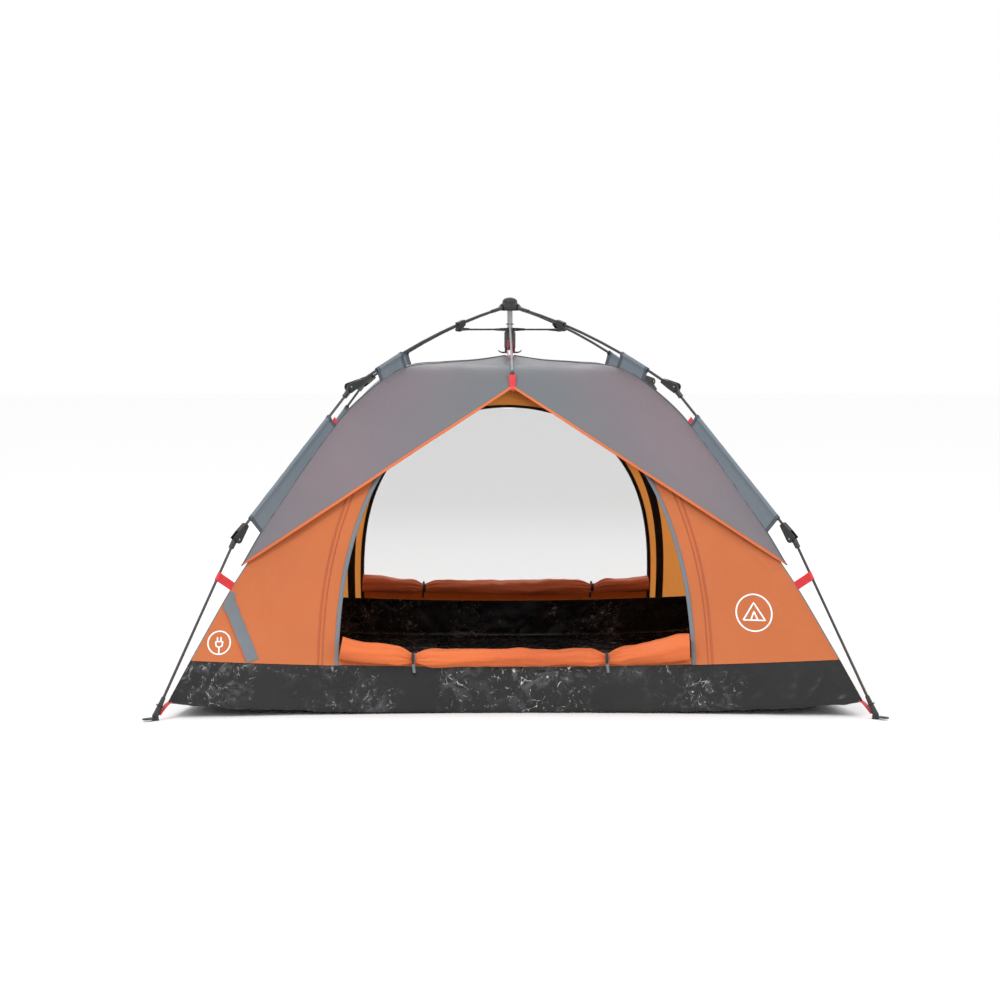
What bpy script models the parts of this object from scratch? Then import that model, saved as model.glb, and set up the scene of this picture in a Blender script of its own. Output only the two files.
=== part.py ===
"""Quick-release dome tent for two people: an umbrella frame of four legs over an inner tent and a rain fly.

Units are metres, +Z is up, the door faces -Y and the origin is on the ground under the hub.
Each leg lies in an upright diagonal plane, and its pieces are drawn in that plane: x is the distance
out from the tent's axis, y is sideways and z is the height.
"""
import math

import bmesh
import bpy
from mathutils import Matrix, Vector

# ---------------------------------------------------------------- driving dimensions
LEGS = {"fl": 225, "fr": 315, "rr": 45, "rl": 135}          # azimuth of each leg in degrees
SIDES = {"front": 0, "right": 90, "rear": 180, "left": 270}  # turn of each wall from the front one
GAP = 0.0003                                                # running clearance between pieces

# leg lines, as (distance out, height)
HUB_PIVOT = (0.026, 1.152)
UPPER_ELBOW = (0.6815, 0.908)
LOWER_ELBOW = (1.118, 0.487)
POLE_END = (1.401, 0.030)
ARM_BOW_DEG = 16.6          # the arm's bend from hub to elbow
ELBOW_OFFSET = 0.004        # the pin and the pole lines lie this far either side of the elbow point
FOOT_RHO = 1.412

ARM_RADIUS = 0.00425
POLE_RADIUS = 0.00395
STRUT_RADIUS = 0.0026
STRUT_SIDE = 0.0103         # the struts run this far beside their arms
STRUT_THICK = 0.006
BRACKET_AT = 0.199          # along the arm from the hub pivot
BRACKET_PIN = (0.2274, 1.083)
RUNNER_PIVOT = (0.020, 1.083)

CROWN_RADIUS = 0.036
CROWN_Z = (1.142, 1.166)
CAP_RADIUS = 0.0235
TOP_Z = 1.184
POST_RADIUS = 0.0085
POST_Z = (1.060, 1.158)
RUNNER_RADIUS = 0.0178
RUNNER_NECK = 0.0152        # its radius between the strut eyes
RUNNER_NECK_DEEP = 0.0125
RUNNER_BORE = 0.0092
RUNNER_Z = (1.018, 1.0885)
LEVER_PIVOT = (0.0125, 1.0115)

# fabric: ridge lines over the diagonals, as (distance out, height)
FLY_RIDGE = [(0.0, 1.003), (0.15, 0.987), (0.30, 0.979), (0.46, 0.966), (0.572, 0.918),
             (0.73, 0.808), (1.019, 0.508), (1.10, 0.407)]
WALL_RIDGE = [(0.0, 0.983), (0.15, 0.967), (0.30, 0.958), (0.45, 0.943), (0.56, 0.893),
              (0.72, 0.780), (1.006, 0.486), (1.13, 0.353), (1.2858, 0.153)]
FLY_SAG = 0.045
WALL_SAG = 0.055
FLY_PEAK = (0.43, 0.909)    # the fly's cut-out over each door, as (distance out from the axis, height)
PEAK_LIFT = 0.021           # the peak cord lifts the fly this much, over PEAK_SPREAD sideways and outward
PEAK_SPREAD = (0.16, 0.13)
ROOF_SAG = {"fly": 0.006, "wall": 0.012}
FLY_SIDE_RISE = 0.075       # how far the fly's side hems curve up towards the roof
FABRIC = 0.0012
TUB_TOP = 0.909             # half side of the tub at its top corners
TUB_FOOT = 0.969            # half side at its bottom corners
TUB_BOW = 0.089             # how far the bottom edges curve in between the corners
TUB_CORNER_Z = 0.042        # the height to which the foot straps lift the bottom corners
TUB_LIFT_POWER = 2.7        # how the lift dies away from the corners
FLOOR_LIFT_POWER = 6        # how the floor's lift dies away from the tub's wall
WALL_OUTWARD = 0.0015       # the inner tent's walls stand this far out of the surface they share
RIDGE_SHARE = 0.999         # the walls stop just short of the ridge they meet at
TUB_WALL_RESTS = 0.0015     # the inner tent's walls stand this far above the tub's edge
TUB_RINGS = ((0.0, 0), (0.55, 0), (0.85, 0), (1.0, 0), (0, 0.5), (0, 1.0))   # shares of the floor and the wall
DOOR_HALF = 0.50
DOOR_SILL = 0.140
DOORS = {"front": (0.765, 2.45), "rear": (0.695, 3.0)}   # height of each arch over the sill, and its fullness
SCREEN_GAP = 0.006
ROLL_HALF = 0.475
ROLL_OUTWARD = 0.004
ROLL_ABOVE = 0.0025         # clear of the tub's edge
REAR_ROLL_HALF = 0.500
REAR_ROLL_PLACE = (0.068, 0.066)    # inward of the tub's edge and above it
ROLL_RADIUS = 0.025
REAR_ROLL_RADIUS = 0.029

# pole sleeves and ties
UPPER_SLEEVE = (0.456, 0.580)   # along the arm from the hub pivot
LOWER_SLEEVE = (0.115, 0.418)   # start along the middle pole, and length
TIE = (0.112, 0.025)            # start along the lower pole, and width
WEB_DEPTH = 0.036
TIE_DEPTH = 0.040
WEB_HALF = 0.0012
WEB_CLEAR = 0.0010              # between a web and its pole
CORD_START = (0.0, -0.0125, 1.0998)     # on the post's front
CORD_END = (0.0, -0.3840, 0.9575)       # at the hook over the fly's front peak
CORD_RADIUS = 0.0031
CORD_SLACK = 0.004              # how far the cord hangs below a straight line

COLOURS = {
    "black_plastic": ((0.022, 0.023, 0.025), 0.42, 0.0),
    "black_rod": ((0.030, 0.031, 0.034), 0.38, 0.0),
    "post_metal": ((0.50, 0.52, 0.53), 0.28, 0.9),
    "fly_fabric": ((0.235, 0.245, 0.275), 0.62, 0.0),
    "sleeve_fabric": ((0.155, 0.195, 0.235), 0.66, 0.0),
    "inner_fabric": ((0.70, 0.185, 0.055), 0.66, 0.0),
    "tub_sheet": ((0.040, 0.039, 0.041), 0.30, 0.0),
    "mesh_screen": ((0.62, 0.62, 0.62), 0.80, 0.0),
    "red_webbing": ((0.70, 0.035, 0.060), 0.60, 0.0),
    "grey_cord": ((0.30, 0.31, 0.32), 0.70, 0.0),
}


# ---------------------------------------------------------------- scene helpers
def start_scene():
    for old in list(bpy.data.objects):
        bpy.data.objects.remove(old)
    tent = bpy.data.collections.new("pop_up_tent")
    bpy.context.scene.collection.children.link(tent)
    return tent


TENT = start_scene()


def material(name, kind):
    """Each node's own material in one of the tent's colours."""
    colour, roughness, metallic = COLOURS[kind]
    made = bpy.data.materials.new(name)
    made.use_nodes = True
    shader = made.node_tree.nodes["Principled BSDF"]
    shader.inputs["Base Color"].default_value = (*colour, 1.0)
    shader.inputs["Roughness"].default_value = roughness
    shader.inputs["Metallic"].default_value = metallic
    return made


def place(name, mesh, kind, pivot=(0.0, 0.0, 0.0), turn_deg=0.0):
    """Puts a finished mesh in the scene as a node, with its origin on its joint."""
    node = bpy.data.objects.new(name, mesh)
    node.location = pivot
    node.rotation_euler = (0.0, 0.0, math.radians(turn_deg))
    TENT.objects.link(node)
    if not mesh.materials:
        mesh.materials.append(None)
    node.material_slots[0].link = "OBJECT"
    node.material_slots[0].material = material(name, kind)
    return node


def raw_object(mesh):
    made = bpy.data.objects.new("raw", mesh)
    bpy.context.scene.collection.objects.link(made)
    return made


def baked(raw, smooth_deg=35.0):
    """The evaluated mesh of an object, welded, with the object removed."""
    bpy.context.view_layer.update()
    graph = bpy.context.evaluated_depsgraph_get()
    mesh = bpy.data.meshes.new_from_object(raw.evaluated_get(graph))
    mesh.transform(raw.matrix_world)
    bpy.data.objects.remove(raw)
    work = bmesh.new()
    work.from_mesh(mesh)
    bmesh.ops.remove_doubles(work, verts=work.verts, dist=0.00001)
    work.to_mesh(mesh)
    work.free()
    mesh.shade_smooth()
    mesh.set_sharp_from_angle(angle=math.radians(smooth_deg))
    return mesh


def tube(points, radius):
    """A round tube along points."""
    curve = bpy.data.curves.new("tube", "CURVE")
    curve.dimensions = "3D"
    curve.bevel_depth = radius
    curve.bevel_resolution = 2
    curve.use_fill_caps = True
    spline = curve.splines.new("POLY")
    spline.points.add(len(points) - 1)
    for spot, point in zip(spline.points, points):
        spot.co = (*point, 1.0)
    return baked(raw_object(curve))


def plate(outline, y_low, y_high):
    """A flat outline in the x-z plane, thick along y."""
    curve = bpy.data.curves.new("plate", "CURVE")
    curve.dimensions = "2D"
    curve.fill_mode = "BOTH"
    curve.extrude = (y_high - y_low) / 2
    spline = curve.splines.new("POLY")
    spline.points.add(len(outline) - 1)
    for spot, (x, z) in zip(spline.points, outline):
        spot.co = (x, z, 0.0, 1.0)
    spline.use_cyclic_u = True
    raw = raw_object(curve)
    upright = Matrix.Rotation(math.pi / 2, 4, "X")
    raw.matrix_world = Matrix.Translation((0, (y_low + y_high) / 2, 0)) @ upright
    return baked(raw)


def rod(start, end, radius, end_radius=None, sides=8):
    """A straight cylinder or cone between two points."""
    start, end = Vector(start), Vector(end)
    work = bmesh.new()
    bmesh.ops.create_cone(work, cap_ends=True, segments=sides, radius1=radius,
                          radius2=end_radius or radius, depth=(end - start).length)
    mesh = bpy.data.meshes.new("rod")
    work.to_mesh(mesh)
    work.free()
    turn = Vector((0, 0, 1)).rotation_difference(end - start).to_matrix().to_4x4()
    mesh.transform(Matrix.Translation((start + end) / 2) @ turn)
    return mesh


def block(low, high):
    """A box between its lowest and highest corners."""
    work = bmesh.new()
    bmesh.ops.create_cube(work, size=1.0)
    size = [b - a for a, b in zip(low, high)]
    middle = [(a + b) / 2 for a, b in zip(low, high)]
    bmesh.ops.scale(work, verts=work.verts, vec=size)
    bmesh.ops.translate(work, verts=work.verts, vec=middle)
    mesh = bpy.data.meshes.new("block")
    work.to_mesh(mesh)
    work.free()
    return mesh


def turned(profile, steps=24):
    """A solid of revolution about Z: the profile runs down its outer side."""
    mesh = bpy.data.meshes.new("profile")
    count = len(profile)
    mesh.from_pydata([(r, 0.0, z) for r, z in profile], [(k, k + 1) for k in range(count - 1)], [])
    raw = raw_object(mesh)
    screw = raw.modifiers.new("turn", "SCREW")
    screw.steps = steps
    screw.render_steps = steps
    screw.use_merge_vertices = True
    screw.merge_threshold = 0.00001
    return baked(raw)


def combine(first, others, operation):
    """Joins to a mesh, or cuts from it, each of the others in turn."""
    raw = raw_object(first)
    helpers = [raw_object(other) for other in others]
    for helper in helpers:
        helper.hide_render = True
        helper.display_type = "WIRE"
        step = raw.modifiers.new(operation.lower(), "BOOLEAN")
        step.operation = operation
        step.object = helper
    mesh = baked(raw)
    for helper in helpers:
        bpy.data.objects.remove(helper)
    return mesh


def join(first, *others):
    return combine(first, others, "UNION")


def cut(first, *others):
    return combine(first, others, "DIFFERENCE")


def moved(mesh, matrix):
    mesh.transform(matrix)
    return mesh


def arc(centre, radius, start_deg, end_deg, steps):
    """Points along an arc in the x-z plane."""
    angles = [math.radians(start_deg + (end_deg - start_deg) * k / steps) for k in range(steps + 1)]
    return [(centre[0] + radius * math.cos(a), centre[1] + radius * math.sin(a)) for a in angles]


def smooth(points, value):
    """The height at a distance out, on a smooth curve through the points."""
    last = len(points) - 2
    k = max([n for n in range(last + 1) if points[n][0] <= value] or [0])
    (x0, y0), (x1, y1) = points[k], points[k + 1]
    before = points[k - 1] if k else (2 * x0 - x1, 2 * y0 - y1)
    after = points[k + 2] if k < last else (2 * x1 - x0, 2 * y1 - y0)
    slope0 = (y1 - before[1]) / (x1 - before[0])
    slope1 = (after[1] - y0) / (after[0] - x0)
    t, width = (value - x0) / (x1 - x0), x1 - x0
    return ((2 * t ** 3 - 3 * t * t + 1) * y0 + (t ** 3 - 2 * t * t + t) * width * slope0
            + (3 * t * t - 2 * t ** 3) * y1 + (t ** 3 - t * t) * width * slope1)


def ease(low, high, value):
    t = min(1.0, max(0.0, (value - low) / (high - low)))
    return t * t * (3 - 2 * t)


# ---------------------------------------------------------------- leg geometry
def offset(point, angle_deg, along, outward):
    """A point moved along a pole that slopes down by an angle, and outward from it."""
    a = math.radians(angle_deg)
    return (point[0] + along * math.cos(a) + outward * math.sin(a),
            point[1] - along * math.sin(a) + outward * math.cos(a))


def slope_deg(start, end):
    return math.degrees(math.atan2(start[1] - end[1], end[0] - start[0]))


ARM_CHORD_DEG = slope_deg(HUB_PIVOT, UPPER_ELBOW)
MIDDLE_DEG = slope_deg(UPPER_ELBOW, LOWER_ELBOW)
ARM_END_DEG = ARM_CHORD_DEG + ARM_BOW_DEG / 2
# the axes are where the pole lines meet
UPPER_AXIS = offset(UPPER_ELBOW, (ARM_END_DEG + MIDDLE_DEG) / 2, 0, -ELBOW_OFFSET)
LOWER_AXIS = offset(LOWER_ELBOW, (MIDDLE_DEG + slope_deg(LOWER_ELBOW, POLE_END)) / 2, 0, ELBOW_OFFSET)
MIDDLE_DEG = slope_deg(UPPER_AXIS, LOWER_AXIS)
LOWER_DEG = slope_deg(LOWER_AXIS, POLE_END)


def arm_point(fraction):
    """A point on the arm's bowed line, from 0 at the hub pivot to 1 at the elbow."""
    chord = Vector(UPPER_AXIS) - Vector(HUB_PIVOT)
    rise = chord.length * math.radians(ARM_BOW_DEG) / 8 * 4 * fraction * (1 - fraction)
    across = Vector((-chord.y, chord.x)).normalized()
    return tuple(Vector(HUB_PIVOT) + chord * fraction + across * rise)


ARM_STRAIGHT = 0.92     # the arm is straight from here to its elbow, inside the fork
ARM_TIP_DEG = slope_deg(arm_point(ARM_STRAIGHT), UPPER_AXIS)
UPPER_BEND_DEG = MIDDLE_DEG - ARM_TIP_DEG
LOWER_BEND_DEG = LOWER_DEG - MIDDLE_DEG
UPPER_PIN = offset(UPPER_AXIS, ARM_TIP_DEG + UPPER_BEND_DEG / 2, 0, 2 * ELBOW_OFFSET)
LOWER_PIN = offset(LOWER_AXIS, MIDDLE_DEG + LOWER_BEND_DEG / 2, 0, -2 * ELBOW_OFFSET)


def in_plane(point, side=0.0):
    return (point[0], side, point[1])


def frame_at(point, angle_deg):
    """Places a piece drawn along +x, outward +z, on a pole that slopes down by an angle."""
    return Matrix.Translation(in_plane(point)) @ Matrix.Rotation(math.radians(angle_deg), 4, "Y")


def place_on_legs(stem, mesh, kind, pivot, side=0.0):
    """Four copies of a leg piece, each with its origin on the pivot."""
    mesh.transform(Matrix.Translation((-pivot[0], -side, -pivot[1])))
    for leg, azimuth in LEGS.items():
        turn = Matrix.Rotation(math.radians(azimuth), 4, "Z")
        place(f"{stem}_{leg}", mesh, kind, turn @ Vector(in_plane(pivot, side)), azimuth)


# ---------------------------------------------------------------- leg pieces
FORK_HALF = 0.0090
SLOT_HALF = 0.0058
LUG_HALF = 0.0055
PIN_RADIUS = 0.0024
PIN_HEAD_RADIUS = 0.0042
PIN_HEAD_THICK = 0.0018
PIN_OFFSET = 2 * ELBOW_OFFSET


def elbow_fork(rod_radius, bend_deg, outward):
    """The moulded fork at a pole's lower end. Its pin is on the outward or the inward side."""
    half = math.radians(bend_deg) / 2 * (1 if outward else -1)
    pin = (PIN_OFFSET * math.sin(half), PIN_OFFSET * math.cos(half))
    outline = [(-0.052, -0.0065), (-0.018, -0.0088), (0.009, -0.0088)]
    outline += arc(pin, 0.0118, -46, 112, 6)
    outline += [(-0.052, 0.0065)]
    body = plate(outline, -FORK_HALF, FORK_HALF)
    slot = block((-0.018, -SLOT_HALF, -0.03), (0.03, SLOT_HALF, 0.03))
    channel = block((-0.06, -SLOT_HALF, 0.0087), (0.03, SLOT_HALF, 0.03))
    bore = rod((-0.060, 0, 0), (-0.024, 0, 0), rod_radius + GAP, sides=12)
    pin_hole = rod((pin[0], -0.02, pin[1]), (pin[0], 0.02, pin[1]), PIN_RADIUS + GAP)
    body = cut(body, slot, channel, bore, pin_hole)
    return body if outward else moved(body, Matrix.Rotation(math.pi, 4, "X"))


def elbow_lug(bend_deg, outward):
    """The tongue on the next pole's upper end, with the pin that turns in the fork."""
    half = math.radians(bend_deg) / 2 * (1 if outward else -1)
    pin = (-PIN_OFFSET * math.sin(half), PIN_OFFSET * math.cos(half))
    outline = arc(pin, 0.0085, 60, 268, 6)
    outline += [(0.008, -LUG_HALF), (0.034, -LUG_HALF), (0.034, LUG_HALF), (0.014, LUG_HALF + 0.001)]
    body = plate(outline, -LUG_HALF, LUG_HALF)
    near, far = FORK_HALF + GAP, FORK_HALF + PIN_HEAD_THICK
    shaft = rod((pin[0], -far, pin[1]), (pin[0], far, pin[1]), PIN_RADIUS)
    heads = [rod((pin[0], side * near, pin[1]), (pin[0], side * far, pin[1]), PIN_HEAD_RADIUS)
             for side in (-1, 1)]
    body = join(body, shaft, *heads)
    return body if outward else moved(body, Matrix.Rotation(math.pi, 4, "X"))


def make_arms():
    steps = 7
    line = [arm_point(0.03 + (ARM_STRAIGHT - 0.03) * k / steps) for k in range(steps + 1)]
    line.append(offset(UPPER_AXIS, ARM_TIP_DEG, -0.0245, 0))
    pole = tube([in_plane(p) for p in line], ARM_RADIUS)
    eye = plate(arc(HUB_PIVOT, 0.006, 0, 315, 7), -0.0045, 0.0045)
    start = slope_deg(arm_point(0), arm_point(0.06))
    near, far = offset(HUB_PIVOT, start, 0.014, 0), offset(HUB_PIVOT, start, 0.058, 0)
    socket = rod(in_plane(near), in_plane(far), 0.0060, 0.0053)
    neck = rod(in_plane(offset(HUB_PIVOT, start, 0.002, 0)), in_plane(near), 0.0042)
    pin = rod((HUB_PIVOT[0], -0.009, HUB_PIVOT[1]), (HUB_PIVOT[0], 0.009, HUB_PIVOT[1]), 0.002)
    place_on_legs("arm_pole", join(pole, socket, neck, eye, pin), "black_rod", HUB_PIVOT)
    fork = moved(elbow_fork(ARM_RADIUS, UPPER_BEND_DEG, True), frame_at(UPPER_AXIS, ARM_TIP_DEG))
    place_on_legs("upper_elbow_fork", fork, "black_plastic", HUB_PIVOT)


def make_brackets():
    """The clamp on each arm that the strut's outer end turns on."""
    fraction = BRACKET_AT / (Vector(UPPER_AXIS) - Vector(HUB_PIVOT)).length
    spot = arm_point(fraction)
    slope = slope_deg(arm_point(fraction - 0.02), arm_point(fraction + 0.02))
    corners = [offset(spot, slope, along, out) for along, out in
               ((0.015, -0.0068), (0.015, 0.0075), (-0.015, 0.0075), (-0.015, -0.0068))]
    boss = arc(BRACKET_PIN, 0.0066, 180, 360, 6)
    body = plate(corners + boss, -0.007, 0.007)
    low, high = offset(spot, slope, -0.02, 0), offset(spot, slope, 0.02, 0)
    bore = rod(in_plane(low), in_plane(high), ARM_RADIUS + 2 * GAP, sides=12)
    place_on_legs("strut_bracket", cut(body, bore), "black_plastic", HUB_PIVOT)


def make_middle_poles():
    at = frame_at(UPPER_AXIS, MIDDLE_DEG)
    length = (Vector(LOWER_AXIS) - Vector(UPPER_AXIS)).length
    pole = tube([(0.020, 0, 0), (length / 2, 0, 0), (length - 0.0245, 0, 0)], POLE_RADIUS)
    piece = moved(join(elbow_lug(UPPER_BEND_DEG, True), pole), at)
    place_on_legs("middle_pole", piece, "black_rod", UPPER_PIN)
    fork = moved(elbow_fork(POLE_RADIUS, LOWER_BEND_DEG, False), frame_at(LOWER_AXIS, MIDDLE_DEG))
    place_on_legs("lower_elbow_fork", fork, "black_plastic", UPPER_PIN)


def make_lower_poles():
    at = frame_at(LOWER_AXIS, LOWER_DEG)
    length = (Vector(POLE_END) - Vector(LOWER_AXIS)).length
    pole = tube([(0.020, 0, 0), (length / 2, 0, 0), (length, 0, 0)], POLE_RADIUS)
    piece = moved(join(elbow_lug(LOWER_BEND_DEG, False), pole), at)
    place_on_legs("lower_pole", piece, "black_rod", LOWER_PIN)


def make_feet():
    """A tapered shoe with a flat tab outward, which has the peg's hole."""
    upper = offset(POLE_END, LOWER_DEG, -0.036, 0)
    toe = offset(POLE_END, LOWER_DEG, 0.021, 0)
    shoe = rod(in_plane(upper), in_plane(toe), 0.0058, 0.0088)
    pad = rod((FOOT_RHO, 0, 0), (FOOT_RHO, 0, 0.016), 0.0105, 0.0085)
    tab = block((FOOT_RHO - 0.004, -0.0095, 0.0045), (FOOT_RHO + 0.034, 0.0095, 0.0085))
    tip = rod((FOOT_RHO + 0.034, 0, 0.0045), (FOOT_RHO + 0.034, 0, 0.0085), 0.0095)
    peg_hole = rod((FOOT_RHO + 0.031, 0, -0.01), (FOOT_RHO + 0.031, 0, 0.03), 0.0050)
    bore = rod(in_plane(offset(POLE_END, LOWER_DEG, -0.06, 0)),
               in_plane(offset(POLE_END, LOWER_DEG, GAP, 0)), POLE_RADIUS + GAP, sides=12)
    below = block((1.3, -0.05, -0.05), (1.5, 0.05, 0.0))
    foot = cut(join(shoe, pad, tab, tip), peg_hole, bore, below)
    place_on_legs("foot", foot, "black_plastic", LOWER_PIN)


def make_struts():
    """The short rods from the runner out to the arm brackets, each beside its arm."""
    inner, outer = RUNNER_PIVOT, BRACKET_PIN
    low, high = STRUT_SIDE - STRUT_THICK / 2, STRUT_SIDE + STRUT_THICK / 2
    ends = []
    for centre, way in ((inner, 1), (outer, -1)):
        outline = arc(centre, 0.005, 90, 270, 5) if way > 0 else arc(centre, 0.005, -90, 90, 5)
        outline += [(centre[0] + way * 0.034, centre[1] - way * 0.0034),
                    (centre[0] + way * 0.034, centre[1] + way * 0.0034)]
        ends.append(plate(outline, low, high))
    shaft = rod(in_plane((inner[0] + 0.025, inner[1]), STRUT_SIDE),
                in_plane((outer[0] - 0.025, outer[1]), STRUT_SIDE), STRUT_RADIUS)
    hole = rod(in_plane(inner, 0.0), in_plane(inner, 0.03), 0.0018 + GAP)
    place_on_legs("strut", cut(join(shaft, *ends), hole), "black_rod", inner, STRUT_SIDE)


# ---------------------------------------------------------------- hub pieces
def leg_turns():
    return [Matrix.Rotation(math.radians(a), 4, "Z") for a in LEGS.values()]


def make_hub():
    low, high = CROWN_Z
    shoulder = CAP_RADIUS + 0.001
    profile = [(0.0, high), (shoulder, high), ((shoulder + CROWN_RADIUS) / 2, high - 0.0045),
               (CROWN_RADIUS, high - 0.0125), (CROWN_RADIUS, low + 0.003), (CROWN_RADIUS - 0.003, low),
               (0.0, low)]
    crown = turned(profile, 24)
    cuts = [rod((0, 0, low - 0.01), (0, 0, POST_Z[1] + GAP), POST_RADIUS + GAP, sides=20)]
    for turn in leg_turns():
        cuts.append(moved(block((0.0190, -0.0049, low - 0.02), (0.06, 0.0049, 1.1590)), turn))
        pin_hole = rod((HUB_PIVOT[0], -0.0095, HUB_PIVOT[1]), (HUB_PIVOT[0], 0.0095, HUB_PIVOT[1]), 0.0023)
        cuts.append(moved(pin_hole, turn))
    place("hub_crown", cut(crown, *cuts), "black_plastic")

    base, top = high + GAP, TOP_Z
    dome = [(CAP_RADIUS * math.cos(a), base + 0.004 + (top - base - 0.004) * math.sin(a))
            for a in [math.pi / 2 * (5 - k) / 5 for k in range(6)]]
    dome[0] = (0.0, top)
    place("hub_cap", turned(dome + [(CAP_RADIUS, base), (0.0, base)], 20), "black_plastic")

    post = rod((0, 0, POST_Z[0]), (0, 0, POST_Z[1]), POST_RADIUS, sides=20)
    place("hub_post", post, "post_metal")


def make_runner():
    """The collar that the struts turn on. It latches over the post's lower end."""
    low, high = RUNNER_Z
    shoulder = high - RUNNER_NECK_DEEP
    profile = [(0.0, high), (RUNNER_NECK - 0.002, high), (RUNNER_NECK, high - 0.002), (RUNNER_NECK, shoulder),
               (RUNNER_RADIUS, shoulder - 0.002), (RUNNER_RADIUS, low + 0.010), (RUNNER_RADIUS - 0.003, low),
               (0.0, low)]
    body = turned(profile, 24)
    extras = []
    for turn in leg_turns():
        x, z = RUNNER_PIVOT
        inner_face = STRUT_SIDE - STRUT_THICK / 2 - GAP
        ear = block((0.0125, 0.0016, z - 0.0052), (x + 0.0045, inner_face, z + 0.0050))
        stub = rod((x, 0.004, z), (x, STRUT_SIDE + STRUT_THICK / 2 + 0.001, z), 0.0018)
        extras += [moved(ear, turn), moved(stub, turn)]
    x, z = LEVER_PIVOT
    for side in (-1, 1):
        for y in (-0.0068, 0.0068):
            extras.append(block((side * x - 0.0036, y - 0.0014, z - 0.0036),
                                (side * x + 0.0036, y + 0.0014, low + 0.011)))
        extras.append(rod((side * x, -0.0076, z), (side * x, 0.0076, z), 0.0014))
    bore = rod((0, 0, low - 0.01), (0, 0, high + 0.01), RUNNER_BORE, sides=24)
    collar = moved(cut(join(body, *extras), bore), Matrix.Translation((0, 0, -RUNNER_PIVOT[1])))
    place("runner", collar, "black_plastic", (0, 0, RUNNER_PIVOT[1]))


def make_levers():
    """The two finger wings under the runner that let its latch go."""
    x, z = LEVER_PIVOT
    for name, side in (("release_lever_left", -1), ("release_lever_right", 1)):
        wing = arc((x, z), 0.0030, 250, 110, 6)
        under = [(x + 0.010, z - 0.0034), (x + 0.020, z - 0.0005), (x + 0.0255, z + 0.0060)]
        over = [(x + 0.0235, z + 0.0070), (x + 0.018, z + 0.0030), (x + 0.010, z + 0.0012)]
        outline = [(side * a, b) for a, b in wing + (over[::-1] + under[::-1])]
        body = plate(outline, -0.005, 0.005)
        hole = rod((side * x, -0.01, z), (side * x, 0.01, z), 0.0014 + GAP)
        mesh = cut(body, hole)
        mesh.transform(Matrix.Translation((-side * x, 0, -z)))
        place(name, mesh, "black_plastic", (side * x, 0, z))


# ---------------------------------------------------------------- fabric
def surface(ridge, sag, roof_sag, half, share):
    """A point of the front face: half is its ring's half side, share runs from -1 to 1 across it."""
    rho = half * math.sqrt(2)
    step = 0.004
    back = max(rho - step, 0.0)
    slope = (smooth(ridge, back) - smooth(ridge, back + 2 * step)) / (2 * step) * math.sqrt(2)
    tilt = math.atan(slope)
    deepest = roof_sag * ease(0.0, 0.35, half) + (sag - roof_sag) * ease(0.42, 0.72, half)
    depth = deepest * (1 - share * share)
    return Vector((share * half, -half + depth * math.sin(tilt), smooth(ridge, rho) - depth * math.cos(tilt)))


def fly_point(half, share):
    point = surface(FLY_RIDGE, FLY_SAG, ROOF_SAG["fly"], half, share)
    reach = (point.x / PEAK_SPREAD[0]) ** 2 + ((point.y + FLY_PEAK[0]) / PEAK_SPREAD[1]) ** 2
    point.z += PEAK_LIFT * math.exp(-reach)
    return point


def wall_point(half, share):
    return surface(WALL_RIDGE, WALL_SAG, ROOF_SAG["wall"], half, share)


FLY_CORNER = FLY_RIDGE[-1][0] / math.sqrt(2)


def fly_edge(share, is_door):
    """The half side at which the fly ends, on a line from its corner to the peak over a door."""
    if not is_door:
        return FLY_CORNER - FLY_SIDE_RISE * (1 - share * share)
    low, high = 0.3, FLY_CORNER
    for _ in range(40):
        middle = (low + high) / 2
        point = fly_point(middle, share)
        line = FLY_PEAK[1] - abs(point.x) / FLY_CORNER * (FLY_PEAK[1] - FLY_RIDGE[-1][1])
        if point.z > line:
            low = middle
        else:
            high = middle
    return min(low, FLY_CORNER)


def sheet_mesh(rows, closed=False):
    """A one-layer surface through rows of points."""
    work = bmesh.new()
    grid = [[work.verts.new(p) for p in row] for row in rows]
    for upper, lower in zip(grid, grid[1:]):
        count = len(upper)
        for k in range(count if closed else count - 1):
            after = (k + 1) % count
            work.faces.new((upper[k], lower[k], lower[after], upper[after]))
    bmesh.ops.remove_doubles(work, verts=work.verts, dist=0.00005)
    bmesh.ops.dissolve_degenerate(work, edges=work.edges, dist=0.00001)
    mesh = bpy.data.meshes.new("sheet")
    work.to_mesh(mesh)
    work.free()
    return mesh


def thickened(mesh, thickness=FABRIC, grow=-1):
    """Gives a sheet its thickness, on its inner side or, with grow at 1, on its outer side."""
    raw = raw_object(mesh)
    solid = raw.modifiers.new("fabric", "SOLIDIFY")
    solid.thickness = thickness
    solid.offset = grow
    solid.use_even_offset = True
    return baked(raw, 60)


def make_fly():
    """One sheet over the roof, cut up to a peak over each door."""
    across, down = 8, 7
    rows = []
    for level in range(down + 1):
        ring = []
        for turn_deg, is_door in ((0, True), (90, False), (180, True), (270, False)):
            turn = Matrix.Rotation(math.radians(turn_deg), 3, "Z")
            for k in range(across):
                share = -1 + 2 * k / across
                half = fly_edge(share, is_door) * level / down
                ring.append(turn @ fly_point(half, share))
        rows.append(ring)
    place("fly", thickened(sheet_mesh(rows, closed=True)), "fly_fabric")


def door_half(height, door):
    """Half the doorway's width at a height."""
    tall, power = DOORS[door]
    rise = min(1.0, max(0.0, (height - DOOR_SILL) / tall))
    return DOOR_HALF * math.sqrt(max(0.0, 1 - rise ** power))


def door_top_half(door):
    """The wall's half side at the height where the door's arch closes."""
    low, high = 0.2, TUB_TOP
    for _ in range(40):
        middle = (low + high) / 2
        if smooth(WALL_RIDGE, middle * math.sqrt(2)) > DOOR_SILL + DOORS[door][0]:
            low = middle
        else:
            high = middle
    return low


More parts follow.
